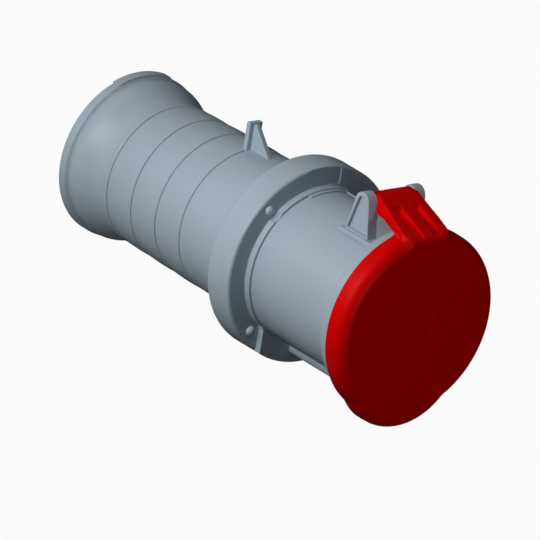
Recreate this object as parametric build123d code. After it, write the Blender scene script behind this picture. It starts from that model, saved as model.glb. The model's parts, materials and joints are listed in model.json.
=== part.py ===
from build123d import *
from math import cos, radians, sin
import os

# In-line power socket, 63 A, three phases with neutral, earth and pilot contact.
# It stands on the rim of its rear bell. Z is the axis of the socket and points
# to the mouth, +Y is the side of the lid hinge, -Y is the side of the keyway.
# Millimetres throughout.

os.makedirs("parts", exist_ok=True)

# Driving dimensions: clearances
fit_gap = 0.05            # radial play of pieces that sit in a bore
run_gap = 0.06            # radial play of the lid on its pin
move_gap = 0.3            # space between pieces that move past each other
thread_gap = 0.3          # radial space between the plain thread cylinders
screw_gap = 0.2           # radial space of a screw in its passing hole
press_gap = 0.02          # radial play of the pin in its ears

# Driving dimensions: front housing
tube_bore_r = 42.0
tube_wall = 3.1
flange_t = 7.0
locating_len = 6.0
tube_len = 66.9           # from the front of the collar to the mouth flange
base_ring_rise = 1.5      # rises and steps below are measured from the tube
base_ring_h = 4.0
base_line_w = 0.5
base_line_d = 0.6
mouth_rise = 3.7
mouth_len = 12.5
mouth_chamfer = 3.0
mouth_edge = 0.4
lip_step = 1.3            # from the mouth flange in to the lip
lip_len = 8.0
ledge_w = 6.4             # seat of the front insulator inside the tube
ledge_rise = 0.6
foot_half_w = 31.0        # raised segment on the front of the collar
foot_drop = 11.7          # from the side of the tube to the straight edge of the segment
notch_half_w = 11.8
notch_d = 1.6
strip_half_w = 10.0
strip_rise = 0.5
key_hump_w = 17.5
key_hump_rise = 4.4
key_hump_round_r = 2.0
key_w = 9.0
key_depth = 4.0
edge_ease = 0.5

# Driving dimensions: rear bell
bell_swell_rise = 5.2     # from the rear of the barrel to the swell of the bell
bell_rim_rise = 1.0       # from the swell to the rim
bell_rim_h = 5.6
bell_neck_drop = 0.8
bell_neck_rise = 0.6
bell_swell_z = 11.5
bell_len = 31.0
bell_flare_share = 0.36   # how full the flare is halfway to the barrel
bell_wall = 3.3
bell_land = 4.5           # straight bore behind the rim
rim_pad_rise = 0.9
rim_pad_angle = 44.8

# Driving dimensions: barrel and collar
barrel_step = 2.6         # from the tube in to the front of the barrel
barrel_taper = 1.9        # from the front of the barrel in to its rear
barrel_wall = 3.1
barrel_crown = 0.35
groove_count = 4
groove_lead = 3.5         # from the bell to the first groove
groove_pitch = 21.6
groove_w = 0.8
groove_d = 0.7
barrel_len = 109.0        # from the bell to the rear face of the collar
collar_back = 12.4        # depth of the collar that belongs to the handle
collar_cove_r = 10.2
collar_edge_r = 2.8

# Driving dimensions: hanging lug
lug_station = 65.6        # from the bell to the rear of the plate
lug_t = 3.2
lug_w = 8.8
lug_rise = 16.8
lug_rib_t = 3.0
lug_rib_run = 15.5
lug_rib_toe = 1.6
lug_corner_r = 0.8
lug_root = 1.5            # depth of the root inside the wall

# Driving dimensions: cable gland
bulkhead_t = 4.0
bulkhead_inset = 1.0
gland_bore_r = 19.0       # bore of the nut for the cable
seal_bore_r = 17.0
seal_wall = 5.5
spigot_wall = 4.5
spigot_len = 18.0
washer_t = 1.6
washer_inset = 1.5
nut_wall = 3.7
nut_flange_t = 5.0
nut_skirt_len = 15.0
nut_edge = 1.5
nut_rib_count = 18
nut_rib_w = 3.0
nut_rib_h = 1.2
nut_rib_lead = 2.5

# Driving dimensions: lid
lid_gap = 0.4             # from the mouth flange to the edge of the lid
lid_overhang = 4.5        # from the mouth flange out to the side of the lid
lid_h = 12.2
lid_draft = 1.5
lid_round_r = 7.0
lid_wall = 3.2
lid_face_t = 3.0
lobe_reach = 5.8          # from the side of the lid to the tip of the lobe
lobe_r = 38.0
lobe_neck_r = 9.0
lid_panel_w = 19.2
lid_panel_h = 29.0
lid_panel_y = 1.5
lid_panel_d = 0.35
lid_panel_round_r = 2.0
lid_seal_inset = 0.3
lid_seal_w = 4.0

# Driving dimensions: lid hinge
hinge_rise = 6.1          # from the side of the lid to the pin
hinge_set_back = 25.7     # from the edge of the lid back to the pin
pin_r = 2.0
ear_gap = 26.6
ear_t = 6.4
ear_round_r = 5.6
ear_foot_rear = 10.7      # from the pin back to the foot of the ear
ear_foot_front = 9.7
ear_recess_d = 2.0
ear_recess_rim = 2.3
pin_cover = 1.4           # ear left over the blind end of the pin
pad_over_ear = 1.9
pad_drop = 4.0            # from the side of the tube to the pad under the ears
pad_lead = 2.3
pad_corner = 1.2
arm_knuckle_r = 4.8
arm_flat = 6.5            # flat top of the arm in front of the knuckle
arm_spread = 3.4          # how much wider the arm is at the lid than at the pin
arm_root_inset = 2.3      # from the side of the lid in to the end of the arm
channel_d = 3.4
channel_mid_half_w = 2.4
channel_rib_w = 4.2
channel_lead = 12.0       # from the pin to the rear wall of the channels
channel_end_d = 1.6
spring_wire_r = 0.6
spring_half_w = 6.0
spring_space = 0.4        # radial space round the coil

# Driving dimensions: contacts and their insulators
contact_circle_r = 22.0
phase_pin_r = 4.0
earth_pin_r = 5.0
pilot_pin_r = 3.0
sleeve_wall = 1.7
pin_play = 0.05           # radial play of a pin in its contact and in the face of the insulator
pin_mouth_flare = 1.2
pin_depth = 46.0
shroud_gap = 8.0          # ring-shaped space for the shroud of the plug
carrier_stand = 66.0      # height of the insulator above its clamping ring
carrier_edge = 1.0
carrier_foot_w = 1.4      # foot of the insulator under the clamping ring
carrier_foot_t = 2.0
clamp_ring_t = 5.0
carrier_lip_t = 3.5
block_rise = 0.4          # from the front insulator out to the rear one
block_len = 36.0
block_edge = 1.0
tail_reach = 3.0          # tails stand out behind the rear insulator
tail_wall = 2.3
wire_bore_r = 4.2
pilot_wire_r = 2.6
wire_depth = 25.0
terminal_slot_w = 8.0
terminal_screw_r = 2.0
terminal_head_r = 3.2
pilot_head_r = 2.4
terminal_head_h = 2.4
terminal_grip = 1.2       # from the tip of a clamping screw to the wall of its bore
terminal_proud = 0.2
terminal_first = 9.0
terminal_pitch = 10.0
terminal_count = 2
pilot_tail_reach = 9.0
pilot_terminal_first = 4.5
spring_band_w = 6.0
spring_band_t = 0.75
spring_band_lead = 6.0
spring_band_split = 1.2

# Driving dimensions: screws
cover_screw_inset = 6.3   # from the side of the collar in to the screws
cover_head_r = 2.75
cover_head_h = 2.2
cover_screw_r = 1.5
cover_screw_len = 16.5
insert_wall = 0.85
insert_len = 8.5
scallop_r = 3.5
carrier_screw_inset = 3.4 # from the bore of the tube in to the screws
carrier_screw_r = 1.5
carrier_screw_len = 9.5
carrier_head_r = 2.5
carrier_head_h = 2.6
block_screw_circle_r = 27.0
block_screw_r = 2.0
block_head_r = 3.6
block_head_h = 3.0
block_screw_grip = 12.0
screw_end_space = 0.5

# Driving dimensions: gasket between the mouldings
gasket_inset = 2.6
gasket_w = 2.6
gasket_t = 1.8

# Derived radii
tube_r = tube_bore_r + tube_wall
base_ring_r = tube_r + base_ring_rise
mouth_r = tube_r + mouth_rise
lip_r = mouth_r - lip_step
ledge_bore_r = tube_bore_r - ledge_w
foot_top_y = foot_drop - tube_r
strip_top_y = tube_r + strip_rise
key_hump_y = -(tube_r + key_hump_rise)
key_y = -(tube_bore_r + key_depth)
barrel_front_r = tube_r - barrel_step
barrel_rear_r = barrel_front_r - barrel_taper
handle_bore_r = barrel_front_r - barrel_wall
bell_swell_r = barrel_rear_r + bell_swell_rise
bell_rim_r = bell_swell_r + bell_rim_rise
bell_neck_r = bell_swell_r - bell_neck_drop
collar_r = barrel_front_r + collar_cove_r + collar_edge_r
lug_top_y = barrel_rear_r + lug_rise
spigot_bore_r = seal_bore_r + seal_wall
spigot_r = spigot_bore_r + spigot_wall
bulkhead_bore_r = gland_bore_r + 0.5
washer_r = spigot_r - washer_inset
washer_bore_r = gland_bore_r - 0.5
nut_r = spigot_r + thread_gap + nut_wall
lid_r = mouth_r + lid_overhang
lobe_y = lobe_r - lid_r - lobe_reach
lid_seal_r = lip_r - lid_seal_inset
lid_seal_bore_r = lid_seal_r - lid_seal_w
hinge_y = lid_r + hinge_rise
pad_top_y = tube_r - pad_drop
spring_r = pin_r + 0.2 + 2 * spring_wire_r
carrier_r = tube_bore_r - shroud_gap
block_r = carrier_r + block_rise
cover_circle_r = collar_r - cover_screw_inset
insert_r = cover_screw_r + fit_gap + insert_wall
carrier_screw_circle_r = tube_bore_r - carrier_screw_inset
gasket_r0 = handle_bore_r + gasket_inset
gasket_r1 = gasket_r0 + gasket_w

# Derived stations along the axis
collar_z = bell_len + barrel_len
handle_front_z = collar_z + collar_back
collar_front_z = handle_front_z + flange_t
flange_z = collar_front_z + tube_len
mouth_z = flange_z + mouth_len
rim_z = mouth_z + lip_len
lid_z = mouth_z + lid_gap
lid_face_z = lid_z + lid_h
lid_ceiling_z = lid_face_z - lid_face_t
bulkhead_z = bell_len - bulkhead_inset
spigot_z = bulkhead_z - spigot_len
washer_z = spigot_z - washer_t
nut_z = washer_z - move_gap - nut_flange_t
ledge_z = collar_front_z + ledge_rise
carrier_floor_z = ledge_z + clamp_ring_t
carrier_top_z = carrier_floor_z + carrier_stand
block_z = ledge_z - block_len
sleeve_top_z = carrier_top_z - carrier_lip_t
groove_first_z = bell_len + groove_lead
lug_z = bell_len + lug_station
hinge_z = lid_z - hinge_set_back
ear_foot_z0 = hinge_z - ear_foot_rear
ear_foot_z1 = hinge_z + ear_foot_front
pad_z = ear_foot_z0 - pad_lead
ear_x0 = ear_gap / 2
ear_x1 = ear_x0 + ear_t
pad_half_w = ear_x1 + pad_over_ear
knuckle_half = ear_x0 - move_gap
arm_lid_half_w = knuckle_half + arm_spread
arm_root_y = lid_r - arm_root_inset
channel_z = hinge_z + channel_lead
spring_leg_x = spring_half_w - 2 * spring_wire_r
pin_x0 = -ear_x1 + ear_recess_d + pin_cover

STAND = (Align.CENTER, Align.CENTER, Align.MIN)

# Name, angle round the axis in degrees, distance from the axis, pin radius
CONTACTS = (
    ("contact_l1", 198.0, contact_circle_r, phase_pin_r),
    ("contact_l2", 126.0, contact_circle_r, phase_pin_r),
    ("contact_l3", 54.0, contact_circle_r, phase_pin_r),
    ("contact_neutral", -18.0, contact_circle_r, phase_pin_r),
    ("contact_earth", -90.0, contact_circle_r, earth_pin_r),
    ("contact_pilot", 90.0, 0.0, pilot_pin_r),
)


def bar(radius, z0, z1, x=0.0, y=0.0):
    """Round bar along Z."""
    return Pos(x, y, z0) * Cylinder(radius, z1 - z0, align=STAND)


def ring(outer, inner, z0, z1, x=0.0, y=0.0):
    """Flat ring or tube along Z."""
    return bar(outer, z0, z1, x, y) - bar(inner, z0 - 1, z1 + 1, x, y)


def block(x0, x1, y0, y1, z0, z1):
    """Box between two corners."""
    return Pos((x0 + x1) / 2, (y0 + y1) / 2, (z0 + z1) / 2) * Box(x1 - x0, y1 - y0, z1 - z0)


def cross_bar(radius, x0, x1, y, z):
    """Round bar along X."""
    return Pos(x0, y, z) * (Rot(0, 90, 0) * Cylinder(radius, x1 - x0, align=STAND))


def at(radius, z):
    """Point of a turned profile."""
    return (radius, 0, z)


def path(*points):
    """Straight runs of a turned profile through (radius, z) points."""
    return Polyline(*[at(r, z) for r, z in points])


def turned(*curves):
    """Solid of revolution about Z from the curves that close its half section."""
    edges = [edge for curve in curves for edge in curve.edges()]
    return revolve(make_face(edges), Axis.Z)


def side_slab(outline, x0, x1):
    """Slab between x0 and x1 with an outline drawn in Y and Z."""
    return Pos(x0, 0, 0) * extrude(Plane.YZ * outline, x1 - x0)


def around(angle, radius):
    """Place on a circle about Z, with local X pointing outwards."""
    return Rot(0, 0, angle) * Pos(radius, 0, 0)


def barrel_r(z):
    """Radius of the barrel, which widens evenly towards the collar."""
    start = bell_len
    end = collar_z - collar_cove_r
    return barrel_rear_r + (barrel_front_r - barrel_rear_r) * (z - start) / (end - start)


def crowned(z0, z1):
    """Slightly crowned run of the barrel between two grooves."""
    middle = (z0 + z1) / 2
    crown = barrel_crown * (z1 - z0) / groove_pitch
    return ThreePointArc(
        at(barrel_r(z0), z0), at(barrel_r(middle) + crown, middle), at(barrel_r(z1), z1)
    )


def handle_outside():
    """Outer curves of the handle from the rim of the bell to the collar."""
    neck_z = bell_rim_h + bell_neck_rise
    curves = [
        path((bell_rim_r, 0), (bell_rim_r, bell_rim_h), (bell_neck_r, neck_z)),
        Spline(
            at(bell_neck_r, neck_z),
            at(bell_swell_r, bell_swell_z),
            at(
                barrel_rear_r + bell_swell_rise * bell_flare_share,
                (bell_swell_z + bell_len) / 2,
            ),
            at(barrel_rear_r, bell_len),
            tangents=[(0.4, 0, 1), (0.02, 0, 1)],
        ),
    ]
    z = bell_len
    for i in range(groove_count):
        groove_z = groove_first_z + i * groove_pitch
        low, high = groove_z - groove_w / 2, groove_z + groove_w / 2
        curves.append(crowned(z, low))
        curves.append(
            path(
                (barrel_r(low), low),
                (barrel_r(low) - groove_d, low),
                (barrel_r(low) - groove_d, high),
                (barrel_r(high), high),
            )
        )
        z = high
    cove_z = collar_z - collar_cove_r
    curves.append(path((barrel_r(z), z), (barrel_front_r, cove_z)))
    cove_x = barrel_front_r + collar_cove_r
    bend = cos(radians(45))
    curves.append(
        ThreePointArc(
            at(barrel_front_r, cove_z),
            at(cove_x - collar_cove_r * bend, cove_z + collar_cove_r * bend),
            at(cove_x, collar_z),
        )
    )
    curves.append(
        ThreePointArc(
            at(cove_x, collar_z),
            at(collar_r - collar_edge_r * (1 - bend), collar_z + collar_edge_r * (1 - bend)),
            at(collar_r, collar_z + collar_edge_r),
        )
    )
    return curves


def handle_shell():
    """Rear moulding: bell, gland spigot, barrel with grooves, lug and back of the collar."""
    inner_swell_r = bell_swell_r - bell_wall
    inner_neck_r = barrel_rear_r - bell_wall
    inside = path(
        (collar_r, collar_z + collar_edge_r),
        (collar_r, handle_front_z),
        (gasket_r1, handle_front_z),
        (gasket_r1, handle_front_z - gasket_t),
        (gasket_r0, handle_front_z - gasket_t),
        (gasket_r0, handle_front_z),
        (handle_bore_r, handle_front_z),
        (handle_bore_r, handle_front_z - locating_len - 1),
        (barrel_rear_r - barrel_wall, bulkhead_z + bulkhead_t),
        (bulkhead_bore_r, bulkhead_z + bulkhead_t),
        (bulkhead_bore_r, bulkhead_z),
        (spigot_bore_r, bulkhead_z),
        (spigot_bore_r, spigot_z),
        (spigot_r, spigot_z),
        (spigot_r, bulkhead_z),
        (inner_neck_r, bulkhead_z),
        (inner_neck_r, bulkhead_z - 3),
        (inner_swell_r, bell_swell_z),
        (bell_rim_r - bell_wall, bell_land),
        (bell_rim_r - bell_wall, 0),
        (bell_rim_r, 0),
    )
    body = turned(*handle_outside(), inside)
    pad = revolve(
        make_face(
            Polyline(
                at(bell_rim_r - 1, 0),
                at(bell_rim_r + rim_pad_rise, 0),
                at(bell_rim_r + rim_pad_rise, bell_rim_h),
                at(bell_rim_r - 1, bell_rim_h),
                close=True,
            ).edges()
        ),
        Axis.Z,
        rim_pad_angle,
    )
    body += Rot(0, 0, 90 - rim_pad_angle / 2) * pad
    body += lug()
    for angle in (45, 135, 225, 315):
        pocket = bar(cover_screw_r + fit_gap, handle_front_z - cover_screw_len + flange_t - screw_end_space, handle_front_z + 1)
        pocket = bar(insert_r, handle_front_z - insert_len, handle_front_z + 1) + pocket
        body -= around(angle, cover_circle_r) * pocket
    return body


def lug():
    """Plate on top of the barrel with a rib that runs forward to the barrel."""
    root_y = barrel_rear_r - lug_root
    plate = block(-lug_w / 2, lug_w / 2, root_y, lug_top_y, lug_z, lug_z + lug_t)
    plate = fillet(plate.edges().filter_by(Axis.Z).group_by(Axis.Y)[-1], lug_corner_r)
    front = lug_z + lug_t
    rib = side_slab(
        make_face(
            Polyline(
                (root_y, front - 1),
                (lug_top_y - lug_corner_r, front - 1),
                (lug_top_y - lug_corner_r, front + lug_rib_toe),
                (root_y + lug_corner_r, front + lug_rib_toe + lug_rib_run),
                (root_y, front + lug_rib_toe + lug_rib_run),
                close=True,
            ).edges()
        ),
        -lug_rib_t / 2,
        lug_rib_t / 2,
    )
    return plate + rib


def ear_outline(inset=0.0):
    """Side view of a hinge ear: rounded top on two straight flanks."""
    top = Pos(hinge_y, hinge_z) * Circle(ear_round_r - inset)
    middle = (ear_foot_z0 + ear_foot_z1) / 2
    width = ear_foot_z1 - ear_foot_z0 - 2 * inset
    foot_y = pad_top_y - tube_wall if inset == 0 else pad_top_y + inset
    foot = Pos(foot_y + 0.5, middle) * Rectangle(1, width)
    return make_hull(top.edges() + foot.edges())


def ear(side):
    """Hinge ear with the triangular recess in its outer face."""
    x0, x1 = (ear_x0, ear_x1) if side > 0 else (-ear_x1, -ear_x0)
    solid = side_slab(ear_outline(), x0, x1)
    if side > 0:
        recess = side_slab(ear_outline(ear_recess_rim), x1 - ear_recess_d, x1 + 1)
    else:
        recess = side_slab(ear_outline(ear_recess_rim), x0 - 1, x0 + ear_recess_d)
    return solid - recess


def front_housing():
    """Front moulding: flange, tube with keyway, mouth, hinge ears and their saddle."""
    line_z = collar_front_z + base_ring_h
    body = turned(
        path(
            (ledge_bore_r, handle_front_z - locating_len),
            (handle_bore_r - fit_gap, handle_front_z - locating_len),
            (handle_bore_r - fit_gap, handle_front_z),
            (collar_r, handle_front_z),
            (collar_r, collar_front_z - edge_ease),
            (collar_r - edge_ease, collar_front_z),
            (base_ring_r, collar_front_z),
            (base_ring_r, line_z - edge_ease),
            (base_ring_r - edge_ease, line_z),
            (tube_r + base_line_w, line_z),
            (tube_r + base_line_w, line_z - base_line_d),
            (tube_r, line_z - base_line_d),
            (tube_r, flange_z),
            (mouth_r - mouth_edge, flange_z + mouth_chamfer),
            (mouth_r, mouth_z),
            (lip_r, mouth_z),
            (lip_r, rim_z - edge_ease),
            (lip_r - edge_ease, rim_z),
            (tube_bore_r + edge_ease, rim_z),
            (tube_bore_r, rim_z - edge_ease),
            (tube_bore_r, ledge_z),
            (ledge_bore_r, ledge_z),
            (ledge_bore_r, handle_front_z - locating_len),
        )
    )
    solid_flange = bar(collar_r, collar_front_z - 1, line_z)
    body += (
        solid_flange & block(-foot_half_w, foot_half_w, -collar_r, foot_top_y, collar_front_z - 1, line_z)
    ) - bar(tube_bore_r + tube_wall / 2, 0, rim_z)
    body += block(-strip_half_w, strip_half_w, tube_bore_r + tube_wall / 2, strip_top_y, line_z - 1, hinge_z - ear_round_r)
    saddle = block(-pad_half_w, pad_half_w, pad_top_y - tube_wall, pad_top_y, pad_z, flange_z + mouth_chamfer)
    saddle = chamfer(saddle.edges().filter_by(Axis.Z).group_by(Axis.Y)[-1], pad_corner)
    body += saddle
    body += ear(1) + ear(-1)
    hump = block(-key_hump_w / 2, key_hump_w / 2, key_hump_y, tube_wall - tube_bore_r, collar_front_z, flange_z + mouth_chamfer)
    body += fillet(hump.edges().filter_by(Axis.Z).group_by(Axis.Y)[0], key_hump_round_r)
    body -= bar(tube_bore_r, ledge_z, rim_z + 1)
    body -= block(-key_w / 2, key_w / 2, key_y, 0, carrier_floor_z, rim_z + 1)
    body -= block(-notch_half_w, notch_half_w, base_ring_r, collar_r + 1, collar_front_z - notch_d, collar_front_z + 1)
    body -= cross_bar(pin_r + press_gap, pin_x0 - fit_gap, ear_x1, hinge_y, hinge_z)
    for angle in (45, 135, 225, 315):
        place = around(angle, cover_circle_r)
        body -= place * bar(scallop_r, collar_front_z, line_z + 1)
        body -= place * bar(cover_screw_r + screw_gap, handle_front_z - locating_len - 1, collar_front_z + 1)
    for angle in (90, 210, 330):
        hole_z = carrier_floor_z - carrier_head_h - carrier_screw_len - screw_end_space
        body -= around(angle, carrier_screw_circle_r) * bar(carrier_screw_r + fit_gap, hole_z, ledge_z + 1)
    return body


def housing_gasket():
    """Flat ring pressed between the handle and the flange of the housing."""
    return ring(gasket_r1, gasket_r0, handle_front_z - gasket_t, handle_front_z)


def cover_screw():
    """Dome headed screw through the flange into the handle."""
    end_z = collar_front_z - cover_screw_len
    shoulder_z = collar_front_z + cover_head_h * 0.35
    dome_h = cover_head_h * 0.65
    sphere_r = (cover_head_r**2 + dome_h**2) / (2 * dome_h)
    centre_z = collar_front_z + cover_head_h - sphere_r
    return turned(
        path(
            (0, end_z),
            (cover_screw_r, end_z),
            (cover_screw_r, collar_front_z),
            (cover_head_r, collar_front_z),
            (cover_head_r, shoulder_z),
        ),
        ThreePointArc(
            at(cover_head_r, shoulder_z),
            at(cover_head_r / 2, centre_z + (sphere_r**2 - cover_head_r**2 / 4) ** 0.5),
            at(0, collar_front_z + cover_head_h),
        ),
        path((0, collar_front_z + cover_head_h), (0, end_z)),
    )


def threaded_insert():
    """Brass insert in the collar of the handle."""
    return ring(insert_r, cover_screw_r + fit_gap, handle_front_z - insert_len, handle_front_z)


def tail_r(pin):
    """Radius of the terminal tail behind a contact."""
    return wire_r(pin) + tail_wall


def wire_r(pin):
    """Radius of the conductor bore in the tail of a contact."""
    return pilot_wire_r if pin == pilot_pin_r else wire_bore_r


def contact(pin):
    """Turned sleeve contact, drawn on its own axis."""
    sleeve = pin + pin_play + sleeve_wall
    groove = sleeve - spring_band_t - press_gap
    band_z = sleeve_top_z - spring_band_lead - spring_band_w
    bore = pin + pin_play
    end_z = tail_start(pin)
    body = turned(
        path(
            (0, end_z + wire_depth),
            (wire_r(pin), end_z + wire_depth),
            (wire_r(pin), end_z),
            (tail_r(pin), end_z),
            (tail_r(pin), ledge_z),
            (sleeve, ledge_z),
            (sleeve, band_z - fit_gap),
            (groove, band_z - fit_gap),
            (groove, band_z + spring_band_w + fit_gap),
            (sleeve, band_z + spring_band_w + fit_gap),
            (sleeve, sleeve_top_z),
            (bore, sleeve_top_z),
            (bore, sleeve_top_z - pin_depth),
            (0, sleeve_top_z - pin_depth),
            (0, end_z + wire_depth),
        )
    )
    for z in terminal_heights(pin):
        body -= cross_bar(terminal_screw_r + fit_gap, 0, tail_r(pin) + 1, 0, z)
    return body


def tail_start(pin):
    """Rear end of the tail; the pilot contact stands out further."""
    return block_z - (pilot_tail_reach if pin == pilot_pin_r else tail_reach)


def terminal_heights(pin):
    """Stations of the clamping screws of a contact."""
    if pin == pilot_pin_r:
        return [tail_start(pin) + pilot_terminal_first]
    return [block_z + terminal_first + i * terminal_pitch for i in range(terminal_count)]


def contact_at(angle, radius, pin):
    """Contact in its place, with its screws facing outwards."""
    return around(angle, radius) * contact(pin)


def terminal_screw(pin, z):
    """Clamping screw of a terminal, lying along local X."""
    tip = wire_r(pin) - terminal_grip
    seat = tail_r(pin) + terminal_proud
    shank = cross_bar(terminal_screw_r, tip, seat + terminal_proud, 0, z)
    head = cross_bar(
        pilot_head_r if pin == pilot_pin_r else terminal_head_r,
        seat,
        seat + terminal_head_h,
        0,
        z,
    )
    return shank + head


def contact_carrier():
    """Front insulator with the six contact wells and a foot that seats in the housing."""
    body = turned(
        path(
            (0, ledge_z),
            (carrier_r + carrier_foot_w, ledge_z),
            (carrier_r + carrier_foot_w, ledge_z + carrier_foot_t),
            (carrier_r, ledge_z + carrier_foot_t),
            (carrier_r, carrier_top_z - carrier_edge),
            (carrier_r - carrier_edge, carrier_top_z),
            (0, carrier_top_z),
            (0, ledge_z),
        )
    )
    for name, angle, radius, pin in CONTACTS:
        place = around(angle, radius)
        well = pin + pin_play + sleeve_wall + fit_gap
        mouth = pin + pin_play
        flare_z = carrier_top_z - pin_mouth_flare
        body -= place * bar(well, ledge_z - 1, sleeve_top_z)
        body -= place * bar(mouth, sleeve_top_z - fit_gap, carrier_top_z)
        body -= place * (Pos(0, 0, flare_z) * Cone(mouth, mouth + pin_mouth_flare, pin_mouth_flare, align=STAND))
    for angle in (18, 162):
        grip_z = ledge_z + block_screw_grip + screw_end_space
        body -= around(angle, block_screw_circle_r) * bar(block_screw_r + fit_gap, ledge_z - 1, grip_z)
    return body


def clamp_ring():
    """Ring that holds the foot of the front insulator on the ledge of the housing."""
    body = turned(
        path(
            (carrier_r + carrier_foot_w + fit_gap, ledge_z),
            (tube_bore_r - move_gap, ledge_z),
            (tube_bore_r - move_gap, carrier_floor_z),
            (carrier_r + fit_gap, carrier_floor_z),
            (carrier_r + fit_gap, ledge_z + carrier_foot_t),
            (carrier_r + carrier_foot_w + fit_gap, ledge_z + carrier_foot_t),
            (carrier_r + carrier_foot_w + fit_gap, ledge_z),
        )
    )
    for angle in (90, 210, 330):
        place = around(angle, carrier_screw_circle_r)
        body -= place * bar(carrier_screw_r + screw_gap, ledge_z - 1, carrier_floor_z + 1)
        body -= place * bar(carrier_head_r + screw_gap, carrier_floor_z - carrier_head_h, carrier_floor_z + 1)
    return body


def carrier_screw():
    """Flat headed screw that holds the clamping ring to the ledge of the housing."""
    seat = carrier_floor_z - carrier_head_h
    return bar(carrier_screw_r, seat - carrier_screw_len, carrier_floor_z) + bar(carrier_head_r, seat, carrier_floor_z)


def terminal_block():
    """Rear insulator round the terminal tails, open at its rim for the clamping screws."""
    body = bar(block_r, block_z, ledge_z)
    body = chamfer(body.edges().group_by(Axis.Z)[0], block_edge)
    for name, angle, radius, pin in CONTACTS:
        place = around(angle, radius)
        body -= place * bar(tail_r(pin) + fit_gap, block_z - 1, ledge_z + 1)
        if radius > 0:
            slot_z = terminal_heights(pin)[-1] + terminal_slot_w / 2
            slot = block(0, block_r, -terminal_slot_w / 2, terminal_slot_w / 2, block_z - 1, slot_z)
            body -= place * slot
    for angle in (18, 162):
        place = around(angle, block_screw_circle_r)
        body -= place * bar(block_screw_r + screw_gap, block_z - 1, ledge_z + 1)
        body -= place * bar(block_head_r + screw_gap, block_z - 1, block_z + block_head_h)
    return body


def block_screw():
    """Screw that joins the rear insulator to the front one."""
    return bar(block_screw_r, block_z, ledge_z + block_screw_grip) + bar(
        block_head_r, block_z, block_z + block_head_h
    )


def sleeve_spring(pin):
    """Spring band round the front of a sleeve, split on its outer side."""
    sleeve = pin + pin_play + sleeve_wall
    band_z = sleeve_top_z - spring_band_lead - spring_band_w
    band = ring(sleeve, sleeve - spring_band_t, band_z, band_z + spring_band_w)
    return band - block(0, sleeve + 1, -spring_band_split / 2, spring_band_split / 2, band_z - 1, band_z + spring_band_w + 1)


def gland_seal():
    """Rubber seal in the spigot, squeezed by the nut round the cable."""
    body = ring(spigot_bore_r - fit_gap, seal_bore_r, spigot_z, bulkhead_z)
    return chamfer(body.edges().filter_by(GeomType.CIRCLE).group_by(SortBy.RADIUS)[0], 1.0)


def gland_washer():
    """Slip washer between the nut and the seal."""
    return ring(washer_r, washer_bore_r, washer_z, spigot_z)


def gland_nut():
    """Ribbed nut on the spigot; its bore lets the cable through."""
    top_z = nut_z + nut_flange_t + nut_skirt_len
    inner = spigot_r + thread_gap
    body = turned(
        path(
            (gland_bore_r + nut_edge, nut_z),
            (nut_r - nut_edge, nut_z),
            (nut_r, nut_z + nut_edge),
            (nut_r, top_z),
            (inner, top_z),
            (inner, nut_z + nut_flange_t),
            (gland_bore_r, nut_z + nut_flange_t),
            (gland_bore_r, nut_z + nut_edge),
            (gland_bore_r + nut_edge, nut_z),
        )
    )
    rib = block(nut_r - 1, nut_r + nut_rib_h, -nut_rib_w / 2, nut_rib_w / 2, nut_z + nut_rib_lead, top_z)
    for i in range(nut_rib_count):
        body += Rot(0, 0, i * 360 / nut_rib_count) * rib
    return body


def hinge_pin():
    """Pin of the lid, blind in one ear and flush with the recess of the other."""
    return cross_bar(pin_r, pin_x0, ear_x1 - ear_recess_d - fit_gap, hinge_y, hinge_z)


def lid_spring():
    """Torsion spring round the pin: its coil and the two legs."""
    inner_r = spring_r - 2 * spring_wire_r
    wire = spring_wire_r - 0.05
    coil = cross_bar(spring_r, -spring_half_w, spring_half_w, hinge_y, hinge_z)
    coil -= cross_bar(inner_r, -spring_half_w - 1, spring_half_w + 1, hinge_y, hinge_z)
    foot_y = strip_top_y + move_gap
    back_leg = Pos(-spring_leg_x, hinge_y - spring_space, hinge_z - spring_r + spring_wire_r) * (
        Rot(90, 0, 0) * Cylinder(wire, hinge_y - spring_space - foot_y, align=STAND)
    )
    leg_y = hinge_y - spring_r + spring_wire_r
    lid_leg = bar(wire, hinge_z + spring_space, lid_z - lid_wall, spring_leg_x, leg_y)
    return coil + back_leg + lid_leg


def lid_outline(inset=0.0):
    """Round lid with the pull lobe, seen along the axis."""
    disc_r, tip_r, neck_r = lid_r - inset, lobe_r - inset, lobe_neck_r + inset
    reach, arm = disc_r + neck_r, tip_r + neck_r
    neck_y = (reach**2 - arm**2 + lobe_y**2) / (2 * lobe_y)
    neck_x = (reach**2 - neck_y**2) ** 0.5
    upper = (neck_x * disc_r / reach, neck_y * disc_r / reach)
    lower = (neck_x * tip_r / arm, lobe_y + (neck_y - lobe_y) * tip_r / arm)
    inner_x = neck_x - (neck_r**2 - ((upper[1] + lower[1]) / 2 - neck_y) ** 2) ** 0.5
    waist = (inner_x, (upper[1] + lower[1]) / 2)
    outline = [
        ThreePointArc(upper, (0, disc_r), (-upper[0], upper[1])),
        ThreePointArc((-upper[0], upper[1]), (-waist[0], waist[1]), (-lower[0], lower[1])),
        ThreePointArc((-lower[0], lower[1]), (0, lobe_y - tip_r), lower),
        ThreePointArc(lower, waist, upper),
    ]
    return make_face([edge for arc in outline for edge in arc.edges()])


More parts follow.
